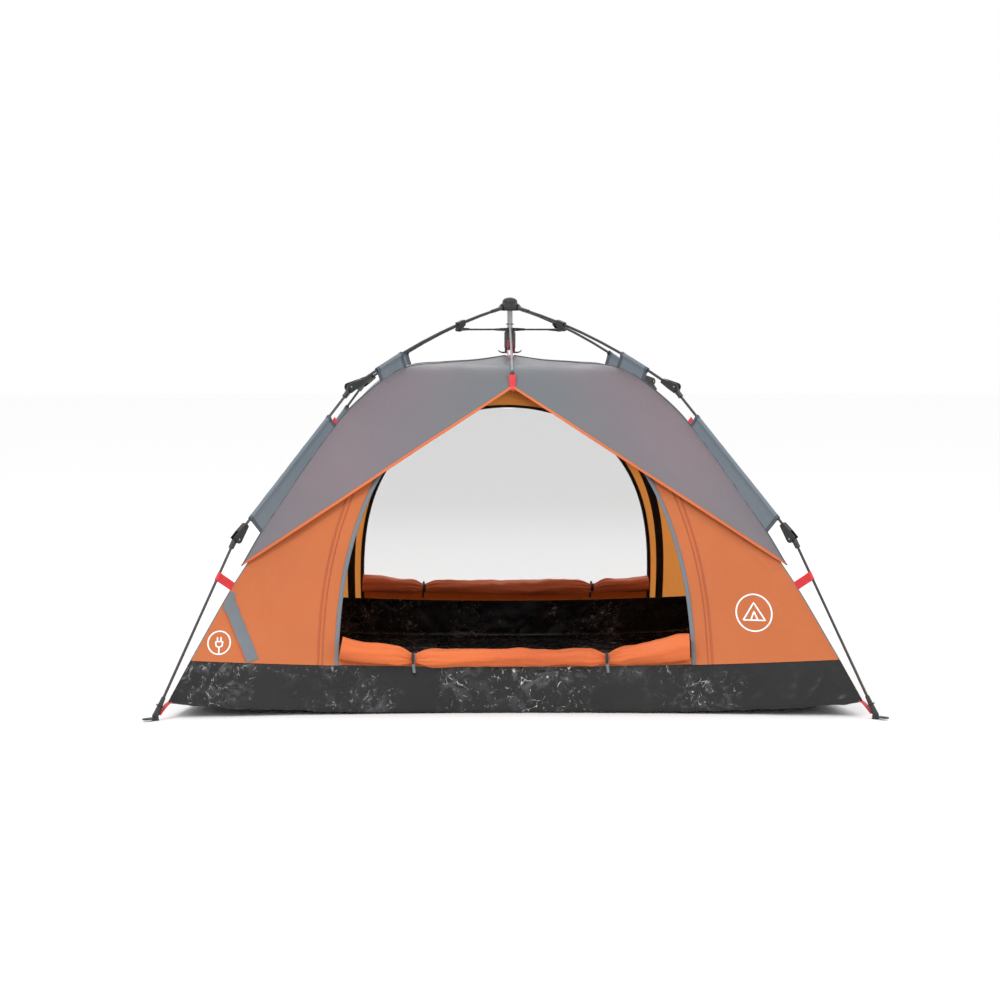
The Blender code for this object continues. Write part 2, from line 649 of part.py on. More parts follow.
ROOF_END = 0.43             # half side where a wall without a door starts to fall
ARCH_STEPS = (0.004, 0.014, 0.03, 0.06, 0.11)


def wall_levels(door):
    """Ring half sides from the roof down, with rows close together where the door's arch closes."""
    top = door_top_half(door) if door else ROOF_END
    roof = [top * k / 4 for k in range(5)]
    if not door:
        return roof + [top + (TUB_TOP - top) * k / 6 for k in range(1, 7)]
    wall = [top + (TUB_TOP - top) * k / 6 for k in range(2, 7)]
    return roof + [top + step for step in ARCH_STEPS if top + step < wall[0]] + wall


def half_wall(levels, side, door):
    """One half of a wall, from its middle or its door out to the tent's ridge."""
    columns = 4
    rows = []
    for half in levels:
        edge = 0.0
        if door and half > door_top_half(door) + 1e-6:
            edge = door_half(smooth(WALL_RIDGE, half * math.sqrt(2)), door) / half
        shares = [edge + (RIDGE_SHARE - edge) * k / columns for k in range(columns + 1)]
        rows.append([wall_point(half, side * share) for share in shares])
    return rows


def place_wall(name, turn_deg, door):
    levels = wall_levels(door)
    left, right = half_wall(levels, -1, door), half_wall(levels, 1, door)
    work = bmesh.new()
    for rows in ([row[::-1] for row in left], right):
        part = sheet_mesh(rows)
        work.from_mesh(part)
    bmesh.ops.remove_doubles(work, verts=work.verts, dist=0.00005)
    bmesh.ops.recalc_face_normals(work, faces=work.faces)
    mesh = bpy.data.meshes.new(name)
    work.to_mesh(mesh)
    work.free()
    mesh.transform(Matrix.Translation((0, -WALL_OUTWARD, 0)))
    place(name, thickened(mesh, grow=1), "inner_fabric", turn_deg=turn_deg)


def make_walls():
    for side, turn_deg in SIDES.items():
        place_wall(f"{side}_wall", turn_deg, side if side in DOORS else None)


def make_rear_screen():
    """The mosquito net that closes the rear doorway."""
    rows = []
    top = door_top_half("rear") + 2 * SCREEN_GAP
    levels = [top + (TUB_TOP - SCREEN_GAP - top) * k / 9 for k in range(10)]
    for half in levels:
        edge = (door_half(smooth(WALL_RIDGE, half * math.sqrt(2)), "rear") - SCREEN_GAP) / half
        rows.append([wall_point(half, edge * (-1 + k / 4)) for k in range(9)])
    mesh = sheet_mesh(rows)
    mesh.transform(Matrix.Translation((0, -WALL_OUTWARD, 0)))
    place("rear_screen", thickened(mesh, FABRIC / 2, 1), "mesh_screen", turn_deg=180)


def tub_edge(share):
    """The tub's top edge on the front side."""
    return wall_point(TUB_TOP, share) + Vector((0, 0, -TUB_WALL_RESTS))


def tub_foot(share):
    """The tub's bottom edge on the front side. The corners are held up by the foot straps."""
    bow = TUB_BOW * (1 - share * share)
    return Vector((share * TUB_FOOT, -TUB_FOOT + bow, TUB_CORNER_Z * abs(share) ** TUB_LIFT_POWER))


def make_tub():
    """Floor and low walls in one waterproof sheet."""
    across = 8
    rows = []
    for level, wall in TUB_RINGS:
        ring = []
        for turn_deg in SIDES.values():
            turn = Matrix.Rotation(math.radians(turn_deg), 3, "Z")
            for k in range(across):
                share = -1 + 2 * k / across
                foot, edge = tub_foot(share), tub_edge(share)
                floor = Vector((foot.x * level, foot.y * level, foot.z * level ** FLOOR_LIFT_POWER))
                ring.append(turn @ (foot.lerp(edge, wall) if wall else floor))
        rows.append(ring)
    mesh = sheet_mesh(rows, closed=True)
    mesh.flip_normals()
    place("tub", thickened(mesh), "tub_sheet")


def make_rolls():
    """The two doors, rolled down and tied at their sills."""
    count = 9
    front, rear = [], []
    for k in range(count):
        x = -1 + 2 * k / (count - 1)
        edge = tub_edge(x * ROLL_HALF / TUB_TOP)
        inward, above = REAR_ROLL_PLACE
        front.append((x * ROLL_HALF, edge.y - ROLL_OUTWARD, edge.z + ROLL_RADIUS + ROLL_ABOVE))
        rear.append((x * REAR_ROLL_HALF, -edge.y - inward, edge.z + above))
    place("front_door_roll", tube(front, ROLL_RADIUS), "inner_fabric")
    place("rear_door_roll", tube(rear, REAR_ROLL_RADIUS), "inner_fabric")


def make_sleeves():
    """The fly's webs that carry the tunnels round the poles."""
    chord = (Vector(UPPER_AXIS) - Vector(HUB_PIVOT)).length
    first, last = (arm_point(along / chord) for along in UPPER_SLEEVE)
    length = (Vector(last) - Vector(first)).length
    web = block((0, -WEB_HALF, -WEB_DEPTH + 0.002), (length, WEB_HALF, -ARM_RADIUS - WEB_CLEAR))
    place_on_legs("upper_sleeve", moved(web, frame_at(first, slope_deg(first, last))), "sleeve_fabric", first)

    along, length = LOWER_SLEEVE
    start = offset(UPPER_AXIS, MIDDLE_DEG, along, 0)
    web = block((0, -WEB_HALF, -WEB_DEPTH), (length, WEB_HALF, -POLE_RADIUS - WEB_CLEAR))
    place_on_legs("lower_sleeve", moved(web, frame_at(start, MIDDLE_DEG)), "sleeve_fabric", start)


def make_corner_ties():
    """The webbing loops that hold the tent's corners to the lower poles."""
    along, width = TIE
    start = offset(LOWER_AXIS, LOWER_DEG, along, 0)
    web = block((0, -WEB_HALF, -TIE_DEPTH), (width, WEB_HALF, -POLE_RADIUS - WEB_CLEAR))
    place_on_legs("corner_tie", moved(web, frame_at(start, LOWER_DEG)), "red_webbing", start)


def make_peak_cord():
    """The elastic cord that lifts the fly's front peak towards the post."""
    start, end = Vector(CORD_START), Vector(CORD_END)
    points = []
    for k in range(17):
        t = k / 16
        points.append(start.lerp(end, t) - Vector((0.0, 0.0, CORD_SLACK * 4 * t * (1 - t))))
    place("peak_cord", tube(points, CORD_RADIUS), "grey_cord")


make_arms()
make_brackets()
make_middle_poles()
make_lower_poles()
make_feet()
make_struts()
make_hub()
make_runner()
make_levers()
make_fly()
make_walls()
make_rear_screen()
make_tub()
make_rolls()
make_sleeves()
make_corner_ties()
make_peak_cord()
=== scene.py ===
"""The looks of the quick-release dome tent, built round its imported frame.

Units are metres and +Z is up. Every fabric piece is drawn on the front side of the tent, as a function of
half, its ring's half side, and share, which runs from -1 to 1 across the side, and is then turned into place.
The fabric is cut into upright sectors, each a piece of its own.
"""
import math

import bmesh
import bpy
import numpy as np
from mathutils import Matrix, Vector


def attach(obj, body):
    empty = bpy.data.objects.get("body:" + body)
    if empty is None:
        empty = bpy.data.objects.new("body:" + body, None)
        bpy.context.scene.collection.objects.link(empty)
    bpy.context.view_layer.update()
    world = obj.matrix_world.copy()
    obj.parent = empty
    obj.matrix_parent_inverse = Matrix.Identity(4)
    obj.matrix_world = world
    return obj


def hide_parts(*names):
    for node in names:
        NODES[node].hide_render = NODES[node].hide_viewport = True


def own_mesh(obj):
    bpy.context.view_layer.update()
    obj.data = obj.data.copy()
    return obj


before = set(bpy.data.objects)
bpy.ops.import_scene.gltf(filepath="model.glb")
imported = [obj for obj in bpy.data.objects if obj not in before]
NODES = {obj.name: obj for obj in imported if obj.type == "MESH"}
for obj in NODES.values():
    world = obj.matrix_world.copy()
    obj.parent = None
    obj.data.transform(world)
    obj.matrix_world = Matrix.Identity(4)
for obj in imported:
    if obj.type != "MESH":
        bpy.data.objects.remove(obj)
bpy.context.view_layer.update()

# ---- how the tent is laid out
LEGS = {"fl": 225, "fr": 315, "rr": 45, "rl": 135}
SIDES = {"front": 0, "right": 90, "rear": 180, "left": 270}
SECTORS = 6                 # sectors on each side
SIDEWAYS = (1.0, 0.0, 0.0)
ACROSS_LEG = (0.0, 1.0, 0.0)

# ---- driving dimensions
# points on a leg are given as their distance out from the tent's axis and their height
HUB_PIVOT = (0.026, 1.152)
UPPER_AXIS = (0.67913, 0.90478)
LOWER_AXIS = (1.12111, 0.48951)
UPPER_PIN = (0.68381, 0.91127)
LOWER_PIN = (1.11490, 0.48447)
PIN_HEAD_END = 0.0108           # sideways from the middle of the elbow to the end of its pin
POLE_END = (1.401, 0.030)
ARM_BOW_DEG = 16.6
ARM_RADIUS = 0.00425
POLE_RADIUS = 0.00395

FLY_RIDGE = [(0.0, 1.003), (0.15, 0.987), (0.30, 0.979), (0.46, 0.966), (0.572, 0.918),
             (0.73, 0.808), (1.019, 0.508), (1.10, 0.407)]
WALL_RIDGE = [(0.0, 0.983), (0.15, 0.967), (0.30, 0.958), (0.45, 0.943), (0.56, 0.893),
              (0.72, 0.780), (1.006, 0.486), (1.13, 0.353), (1.2858, 0.153)]
FLY_SAG = 0.045
FLY_ROOF_SAG = 0.006
WALL_SAG = 0.055
WALL_ROOF_SAG = 0.012
FLY_PEAK = (0.43, 0.909)
FLY_PEAK_RISE = 0.021           # how far the cord lifts the fly's peaks, and over what width and depth
FLY_PEAK_REACH = (0.16, 0.13)
FLY_SIDE_RISE = 0.075
FLY_CORNER = FLY_RIDGE[-1][0] / math.sqrt(2)
TUB_TOP = 0.909
TUB_FOOT = 0.969
TUB_BOW = 0.089
TUB_CORNER_Z = 0.042
TUB_LIFT_POWER = 2.7
FLOOR_LIFT_POWER = 6
DOOR_HALF = 0.50
DOOR_SILL = 0.140
DOORS = {"front": (0.765, 2.45), "rear": (0.695, 3.0)}      # each arch's height over the sill and its fullness
SILL = 0.075                    # how far the rear doorway's sill stands above DOOR_SILL
FRONT_SILL = 0.034
ROLL_HALF = 0.475
ROLL_TIES = {"front": (-0.287, 0.259), "rear": (-0.3026, 0.2856)}
UPPER_SLEEVE = (0.465, 0.580)   # along the arm from the hub pivot
LOWER_SLEEVE = (0.115, 0.533)   # along the middle pole from the upper elbow
HEM = 0.0105                # width of the sleeves' hems
HEM_CLOTH = 0.0005
TIE = (0.112, 0.137)            # along the lower pole from the lower elbow
CLOTH = 0.0007              # thickness of the tent's fabrics
NET = 0.0003


# ---- camera, light and floor
LENS = 87.4
SENSOR_WIDTH = 36.0
CAMERA_PLACE = (-0.137, -7.6725, 1.0497)
CAMERA_DOWN_DEG = 3.77
CAMERA_TURN_DEG = -0.79
LAMPS = {"key": ((-2.6, -4.8, 5.4), (2.0, 2.0), 150),       # place, size and power
         "fill": ((4.6, -4.4, 3.2), (2.0, 2.0), 55),
         "back": ((0.5, 4.8, 4.2), (4.0, 2.0), 45)}
LAMPS_AIM = Vector((0.0, 0.0, 0.5))
FLOOR_HALF = 40.0
FLOOR_Z = -0.0006


def add_object(name, data):
    made = bpy.data.objects.new(name, data)
    bpy.context.scene.collection.objects.link(made)
    return made


def make_camera():
    camera = add_object("camera", bpy.data.cameras.new("camera"))
    camera.data.lens = LENS
    camera.data.sensor_width = SENSOR_WIDTH
    camera.location = CAMERA_PLACE
    camera.rotation_euler = (math.radians(90 - CAMERA_DOWN_DEG), 0.0, math.radians(CAMERA_TURN_DEG))
    bpy.context.scene.camera = camera


def make_lamps():
    for name, (place, size, power) in LAMPS.items():
        lamp = bpy.data.lights.new(name, "AREA")
        lamp.shape = "RECTANGLE"
        lamp.size, lamp.size_y = size
        lamp.energy = power
        made = add_object(name, lamp)
        made.location = place
        made.rotation_euler = (LAMPS_AIM - Vector(place)).to_track_quat("-Z", "Y").to_euler()


def make_stage():
    world = bpy.data.worlds.new("studio")
    world.use_nodes = True
    background = world.node_tree.nodes["Background"]
    background.inputs["Color"].default_value = (1.0, 1.0, 1.0, 1.0)
    background.inputs["Strength"].default_value = 1.0
    bpy.context.scene.world = world
    bpy.context.scene.view_settings.view_transform = "Standard"
    work = bmesh.new()
    bmesh.ops.create_grid(work, x_segments=1, y_segments=1, size=FLOOR_HALF)
    mesh = bpy.data.meshes.new("floor")
    work.to_mesh(mesh)
    work.free()
    mesh.materials.append(Look("floor", (0.98, 0.98, 0.98), 0.9).material)
    floor = add_object("floor", mesh)
    floor.location.z = FLOOR_Z


# ---- materials
LOOKS = {}          # each look's material by its name


class Look:
    """A Principled material whose colour, roughness and bump come from its nodes."""

    def __init__(self, name, colour, roughness, **values):
        self.material = LOOKS[name] = bpy.data.materials.new(name)
        self.material.use_nodes = True
        self.tree = self.material.node_tree
        self.shader = self.tree.nodes["Principled BSDF"]
        self.place = self.tree.nodes.new("ShaderNodeTexCoord").outputs
        self.colour = (*colour, 1.0)
        self.height = None
        for key, value in {"base_color": self.colour, "roughness": roughness, **values}.items():
            self.shader.inputs[key.replace("_", " ").title().replace("Ior", "IOR")].default_value = value

    def add(self, kind, settings=None, **inputs):
        """A node with its settings, and with its inputs set to values or linked to sockets."""
        node = self.tree.nodes.new(f"ShaderNode{kind}")
        for key, value in (settings or {}).items():
            setattr(node, key, value)
        for key, value in inputs.items():
            socket = node.inputs[int(key[1:]) if key[0] == "_" else key]
            if isinstance(value, bpy.types.NodeSocket):
                self.tree.links.new(value, socket)
            else:
                socket.default_value = value
        return node

    def math(self, operation, first, second=0.0):
        return self.add("Math", {"operation": operation}, _0=first, _1=second).outputs[0]

    def coordinates(self, source, scale):
        """Texture coordinates, scaled: source is UV, in metres along the cloth, or Object."""
        return self.add("Mapping", Vector=self.place[source], Scale=scale).outputs[0]

    def noise(self, source, size, detail, roughness=0.5, stretch=(1, 1, 1), distortion=0.0):
        scale = [part / size for part in stretch]
        return self.add("TexNoise", Vector=self.coordinates(source, scale), Scale=1.0, Detail=detail,
                        Roughness=roughness, Distortion=distortion).outputs["Fac"]

    def ramp(self, value, low, high, new_low=0.0, new_high=1.0):
        limits = {"From Min": low, "From Max": high, "To Min": new_low, "To Max": new_high}
        return self.add("MapRange", Value=value, **limits).outputs[0]

    def clouds(self, source, size, detail, low, high, new_low=0.0, new_high=1.0, **noise):
        """Noise, with what lies between low and high spread from new_low to new_high."""
        return self.ramp(self.noise(source, size, detail, **noise), low, high, new_low, new_high)

    def tint(self, amount, colour):
        """Mixes another colour over what is there, by an amount from a node."""
        base = self.shader.inputs["Base Color"]
        before = base.links[0].from_socket if base.is_linked else self.colour
        mix = self.add("Mix", {"data_type": "RGBA"}, _0=amount, _6=before, _7=(*colour, 1.0))
        self.tree.links.new(mix.outputs[2], base)

    def roughen(self, value):
        self.tree.links.new(value, self.shader.inputs["Roughness"])

    def raise_by(self, value, weight):
        """Adds to the bump's height, in metres."""
        term = self.math("MULTIPLY", value, weight)
        self.height = term if self.height is None else self.math("ADD", self.height, term)

    def bump(self):
        node = self.add("Bump", Strength=1.0, Distance=1.0, Height=self.height)
        self.tree.links.new(node.outputs[0], self.shader.inputs["Normal"])

    def let_light_through(self, share, colour):
        """Mixes in a share of translucency, for cloth that glows with the light behind it."""
        glow = self.add("BsdfTranslucent", Color=(*colour, 1.0))
        mix = self.add("MixShader", _0=share, _1=self.shader.outputs[0], _2=glow.outputs[0])
        self.tree.links.new(mix.outputs[0], self.tree.nodes["Material Output"].inputs["Surface"])


ONE_WAVE = 0.5 * math.pi / 10       # the wave texture's scale that gives one wave to each unit
WEAVE_PITCH = 0.0011


def threads(look, pitch, direction):
    """Rounded threads or ribs side by side, across one direction of the cloth."""
    return look.add("TexWave", {"bands_direction": direction}, Vector=look.coordinates("UV", (1 / pitch,) * 3),
                    Scale=ONE_WAVE).outputs["Fac"]


def near_ridges(look):
    """From 0 in the middle of a side of the tent to 1 at the ridges between its sides."""
    parts = look.add("SeparateXYZ", Vector=look.place["Object"]).outputs
    across = [look.math("ABSOLUTE", parts[k]) for k in (0, 1)]
    return look.math("DIVIDE", look.math("MINIMUM", *across), look.math("MAXIMUM", *across))


def cloth(name, colour, shade, glint, roughness, glow=None, share=0.2, crumple=0.0012, ridges=None):
    """Coated tent cloth: colour drifts towards shade in soft clouds and towards glint in fine ones, and towards
    a painted sheen near the ridges between the sides where a ridges colour is given.
    """
    look = Look(name, colour, roughness, sheen_weight=0.12, sheen_roughness=0.45, specular_ior_level=0.40)
    if ridges:
        # painted sheen: the colour is tinted towards the ridges colour near the ridges between the sides
        look.tint(look.ramp(near_ridges(look), 0.25, 0.80), ridges)
    look.tint(look.clouds("Object", 0.55, 2.0, 0.38, 0.66), shade)
    look.tint(look.clouds("UV", 0.012, 3.0, 0.45, 0.95, 0.0, 0.22, roughness=0.7), glint)
    look.roughen(look.clouds("Object", 0.09, 3.0, 0.3, 0.7, roughness - 0.07, roughness + 0.07))
    weave = look.math("MAXIMUM", threads(look, WEAVE_PITCH, "X"), threads(look, WEAVE_PITCH, "Y"))
    look.raise_by(weave, 0.00006)
    look.raise_by(look.noise("Object", 0.11, 3.0, 0.55, distortion=0.6), crumple)
    if glow:
        look.let_light_through(share, glow)
    look.bump()


def net_look():
    """Fine mosquito net, seen from afar as a thin grey veil."""
    look = Look("mesh_net", (0.22, 0.22, 0.235), 0.9, alpha=0.175)
    look.raise_by(look.noise("UV", 0.004, 1.0), 0.0002)
    look.bump()


def coated_sheet():
    """The tub's black coated sheet, with the creases of its packing, their bright glints painted into its
    colour, and a painted grey sheen mottling its creased patches.
    """
    look = Look("tub_sheet", (0.007, 0.0068, 0.0074), 0.26, specular_ior_level=0.28, coat_weight=0.22,
                coat_roughness=0.08)
    look.tint(look.clouds("Object", 0.30, 3.0, 0.35, 0.7), (0.014, 0.0138, 0.0146))
    push = look.add("TexNoise", Vector=look.coordinates("Object", (9, 9, 9)), Scale=1.0, Detail=2.0)
    push = look.add("VectorMath", {"operation": "SCALE"}, _0=push.outputs["Color"], Scale=0.07)
    bent = look.add("VectorMath", _0=look.coordinates("Object", (1, 1, 1)), _1=push.outputs[0])
    patch = look.clouds("Object", 0.22, 1.0, 0.44, 0.62)
    # painted sheen: grey mottling over the creased patches, for the reflections of the crumpled coating
    crease_sheen = look.clouds("Object", 0.045, 4.0, 0.50, 0.66, roughness=0.7, distortion=0.8)
    look.tint(look.math("MULTIPLY", crease_sheen, patch), (0.075, 0.074, 0.079))
    for size, depth, fine in ((0.075, 0.0042, 0.020), (0.030, 0.0016, 0.032)):
        cells = look.add("TexVoronoi", {"feature": "DISTANCE_TO_EDGE"}, Vector=bent.outputs[0], Scale=1 / size)
        from_edge = cells.outputs["Distance"]
        look.raise_by(look.math("MULTIPLY", look.ramp(from_edge, 0.0, 0.22), patch), depth)
        glint = look.ramp(from_edge, 0.0, fine, 1.0, 0.0)
        broken = look.clouds("Object", 0.018, 3.0, 0.54, 0.66, roughness=0.7)
        look.tint(look.math("MULTIPLY", look.math("MULTIPLY", glint, broken), patch), (0.80, 0.81, 0.83))
    look.roughen(look.clouds("Object", 0.05, 3.0, 0.3, 0.7, 0.17, 0.34))
    look.raise_by(look.noise("Object", 0.02, 2.0), 0.0006)
    look.bump()


def webbing(name, colour, dark, rib=0.0022):
    """Woven webbing with ribs across it, with painted shade between the ribs and darker random clouds."""
    look = Look(name, colour, 0.62, sheen_weight=0.3)
    ribs = threads(look, rib, "Y")
    look.raise_by(ribs, 0.00022)
    # painted shade: darker between the ribs
    look.tint(look.ramp(ribs, 0.5, 0.0, 0.0, 0.45), dark)
    look.tint(look.clouds("Object", 0.02, 2.0, 0.4, 0.8, 0.0, 0.35), dark)
    look.roughen(look.clouds("Object", 0.006, 2.0, 0.3, 0.7, 0.52, 0.72))
    look.bump()


def moulded(name, colour, worn, roughness=0.42):
    """Moulded plastic with a fine grain, rubbed paler in places."""
    look = Look(name, colour, roughness, specular_ior_level=0.5)
    look.tint(look.clouds("Object", 0.012, 3.0, 0.55, 0.8, 0.0, 0.6, roughness=0.6), worn)
    look.roughen(look.clouds("Object", 0.006, 3.0, 0.3, 0.7, roughness - 0.08, roughness + 0.10))
    look.raise_by(look.noise("Object", 0.0011, 2.0), 0.00005)
    look.raise_by(look.noise("Object", 0.014, 1.0), 0.00020)
    look.bump()


def pole_look():
    """Black glass-fibre rod: glossy, with long faint fibres and scuffs."""
    look = Look("rod_black", (0.016, 0.017, 0.019), 0.30, coat_weight=0.3, coat_roughness=0.2)
    fibres = look.noise("Object", 0.0022, 3.0, 0.6, stretch=(1, 1, 0.06))
    look.tint(look.ramp(fibres, 0.5, 0.85, 0.0, 0.5), (0.060, 0.063, 0.068))
    look.roughen(look.clouds("Object", 0.03, 3.0, 0.3, 0.75, 0.22, 0.46))
    look.raise_by(fibres, 0.00005)
    look.bump()


def post_look():
    """Brushed aluminium tube."""
    look = Look("post_metal", (0.34, 0.35, 0.36), 0.26, metallic=1.0)
    lines = look.noise("Object", 0.0012, 3.0, 0.7, stretch=(1, 1, 0.03))
    look.tint(look.ramp(lines, 0.4, 0.8, 0.0, 0.5), (0.16, 0.165, 0.17))
    look.roughen(look.ramp(lines, 0.3, 0.7, 0.20, 0.38))
    look.raise_by(lines, 0.00003)
    look.bump()


def make_looks():
    # the fly's last colour, given as ridges, is a painted sheen near the ridges between its sides
    cloth("fly_fabric", (0.172, 0.195, 0.212), (0.196, 0.182, 0.200), (0.26, 0.26, 0.28), 0.44,
          glow=(0.25, 0.22, 0.225), crumple=0.0010, ridges=(0.236, 0.186, 0.212))
    cloth("sleeve_fabric", (0.135, 0.168, 0.196), (0.152, 0.180, 0.206), (0.22, 0.25, 0.28), 0.60)
    cloth("hem_fabric", (0.060, 0.075, 0.094), (0.075, 0.090, 0.110), (0.13, 0.15, 0.17), 0.65)
    cloth("inner_fabric", (0.615, 0.175, 0.051), (0.555, 0.150, 0.043), (0.70, 0.25, 0.085), 0.58,
          glow=(1.0, 0.42, 0.09), crumple=0.0014)
    # a brighter copy of the inner fabric, which lets more and paler light through: painted light, for the glow
    # of the side and rear walls
    cloth("lit_inner_sides", (0.84, 0.25, 0.070), (0.77, 0.215, 0.058), (0.92, 0.33, 0.11), 0.58,
          glow=(1.0, 0.65, 0.30), share=0.62, crumple=0.0014)
    cloth("roll_fabric", (0.68, 0.145, 0.030), (0.56, 0.105, 0.022), (0.78, 0.21, 0.05), 0.50, crumple=0.0030)
    # a brighter copy of the roll fabric for the rear roll, which lies in shade: painted light
    cloth("lit_rear_roll_cloth", (0.86, 0.230, 0.085), (0.72, 0.170, 0.062), (0.92, 0.31, 0.12), 0.55,
          crumple=0.0030)
    cloth("binding", (0.64, 0.150, 0.042), (0.54, 0.120, 0.034), (0.74, 0.22, 0.07), 0.58, crumple=0.0006)
    # a darker copy of the orange fabric: painted shade, for the folds of the pleats and the cable port's hem
    cloth("seam_shade_orange", (0.47, 0.105, 0.030), (0.38, 0.080, 0.023), (0.54, 0.15, 0.05), 0.62)
    cloth("grey_tape", (0.160, 0.178, 0.200), (0.135, 0.152, 0.172), (0.23, 0.245, 0.27), 0.60)
    moulded("white_print", (0.86, 0.86, 0.85), (0.74, 0.72, 0.70), 0.50)
    net_look()
    coated_sheet()
    webbing("webbing_red", (0.72, 0.018, 0.030), (0.42, 0.008, 0.014))
    webbing("webbing_black", (0.014, 0.014, 0.015), (0.004, 0.004, 0.004))
    webbing("webbing_grey", (0.15, 0.16, 0.175), (0.07, 0.075, 0.085))
    webbing("cord_grey", (0.30, 0.31, 0.32), (0.10, 0.10, 0.11), 0.0030)
    moulded("plastic_black", (0.014, 0.0145, 0.0155), (0.050, 0.051, 0.054))
    moulded("runner_grey", (0.040, 0.041, 0.044), (0.085, 0.086, 0.090), 0.38)
    pole_look()
    post_look()


def dress_frame():
    """Gives each hard part its finish: black plastic, but for the poles, the post and the runner."""
    finish = {"arm_pole": "rod_black", "middle_pole": "rod_black", "lower_pole": "rod_black",
              "strut": "rod_black", "hub_post": "post_metal", "runner": "runner_grey"}
    for name, node in NODES.items():
        stem = name if name in finish else name.rsplit("_", 1)[0]
        look = LOOKS[finish.get(stem, "plastic_black")]
        for slot in node.material_slots:
            slot.material = look


# ---- surfaces
def smooth(points, value):
    """The height at a distance out, on a smooth curve through the points."""
    x, y = (np.array(column) for column in zip(*points))
    slope = np.gradient(y, x)
    slope[1:-1] = (y[2:] - y[:-2]) / (x[2:] - x[:-2])
    k = np.clip(np.searchsorted(x, value, side="right") - 1, 0, len(x) - 2)
    width = x[k + 1] - x[k]
    t = (value - x[k]) / width
    return ((2 * t ** 3 - 3 * t * t + 1) * y[k] + (t ** 3 - 2 * t * t + t) * width * slope[k]
            + (3 * t * t - 2 * t ** 3) * y[k + 1] + (t ** 3 - t * t) * width * slope[k + 1])


def ease(low, high, value):
    t = np.clip((value - low) / (high - low), 0.0, 1.0)
    return t * t * (3 - 2 * t)


def surface(ridge, sag, roof_sag, half, share):
    """Points of the front face, an array of x, y and z."""
    half, share = np.broadcast_arrays(np.asarray(half, float), np.asarray(share, float))
    rho = half * math.sqrt(2)
    step = 0.004
    back = np.maximum(rho - step, 0.0)
    tilt = np.arctan((smooth(ridge, back) - smooth(ridge, back + 2 * step)) / (2 * step) * math.sqrt(2))
    depth = (roof_sag * ease(0.0, 0.35, half) + (sag - roof_sag) * ease(0.42, 0.72, half)) * (1 - share * share)
    return np.stack([share * half, -half + depth * np.sin(tilt), smooth(ridge, rho) - depth * np.cos(tilt)],
                    axis=-1)


def fly_point(half, share):
    points = surface(FLY_RIDGE, FLY_SAG, FLY_ROOF_SAG, half, share)
    reach = ((points[..., 0] / FLY_PEAK_REACH[0]) ** 2
             + ((points[..., 1] + FLY_PEAK[0]) / FLY_PEAK_REACH[1]) ** 2)
    points[..., 2] += FLY_PEAK_RISE * np.exp(-reach)
    return points


def wall_point(half, share):
    return surface(WALL_RIDGE, WALL_SAG, WALL_ROOF_SAG, half, share) + np.array((0.0, -0.0015, 0.0))


def surface_normal(point_at, half, share):
    """Outward unit normals of a surface given as a function of half and share."""
    step = 0.002
    half, share = np.broadcast_arrays(np.asarray(half, float), np.asarray(share, float))
    down = point_at(half + step, share) - point_at(np.maximum(half - step, 0.0), share)
    across = point_at(half, share + step) - point_at(half, share - step)
    return unit(np.cross(down, across))


def unit(vectors):
    return vectors / np.maximum(np.linalg.norm(vectors, axis=-1, keepdims=True), 1e-12)


HALVINGS = 40


def bisect(low, high, goes_further):
    """Where a test that holds at first stops holding, between two arrays of values."""
    low, high = np.array(low, float), np.array(high, float)
    for _ in range(HALVINGS):
        middle = (low + high) / 2
        further = goes_further(middle)
        low = np.where(further, middle, low)
        high = np.where(further, high, middle)
    return low


def fly_edge(share, is_door):
    """The half side at which the fly ends."""
    if not is_door:
        return FLY_CORNER - FLY_SIDE_RISE * (1 - share * share)

    def above(half):
        points = fly_point(half, share)
        line = FLY_PEAK[1] - np.abs(points[..., 0]) / FLY_CORNER * (FLY_PEAK[1] - FLY_RIDGE[-1][1])
        return points[..., 2] > line
    return bisect(np.full_like(share, 0.3), np.full_like(share, FLY_CORNER), above)


def wall_half_at(height):
    """The wall's half side where its ridge has this height."""
    height = np.asarray(height, float)
    return bisect(np.full_like(height, 0.1), np.full_like(height, TUB_TOP),
                  lambda half: smooth(WALL_RIDGE, half * math.sqrt(2)) > height)


def door_top(door):
    """The wall's half side where the door's arch closes."""
    return float(wall_half_at(DOOR_SILL + DOORS[door][0]))


ARCH_STEPS = 96


def arch(door, spread, side=None):
    """Half and share along a doorway's arch, spread wider than the opening. side keeps one half of it."""
    tall, power = DOORS[door]
    lowest = float(smooth(WALL_RIDGE, np.array(TUB_TOP * math.sqrt(2)))) - DOOR_SILL
    end = math.acos((lowest / (tall + spread)) ** (power / 2)) / (math.pi / 2)
    t = np.linspace(0.0, side * end, ARCH_STEPS // 2 + 1) if side else np.linspace(-end, end, ARCH_STEPS + 1)
    half = wall_half_at(DOOR_SILL + (tall + spread) * np.cos(t * math.pi / 2) ** (2 / power))
    return half, (DOOR_HALF + spread) * np.sin(t * math.pi / 2) / half


def on_wall(x, z):
    """Half and share of the point of the front wall that has this x and z."""
    x, z = np.asarray(x, float), np.asarray(z, float)
    half = np.full_like(x, 0.8)
    for _ in range(4):
        share = x / half
        half = bisect(np.full_like(x, 0.5), np.full_like(x, TUB_TOP),
                      lambda tried: wall_point(tried, share)[..., 2] > z)
    return half, x / half


def tub_edge(share):
    """The tub's top edge on the front side."""
    return wall_point(np.full_like(share, TUB_TOP), share) + np.array((0.0, 0.0034, 0.0035))


def tub_foot(share):
    """The tub's bottom edge on the front side, bowed in between its corners and lifted at them."""
    bow = TUB_BOW * (1 - share * share)
    lifted = TUB_CORNER_Z * np.abs(share) ** TUB_LIFT_POWER
    return np.stack([share * TUB_FOOT, -TUB_FOOT + bow, lifted], axis=-1)


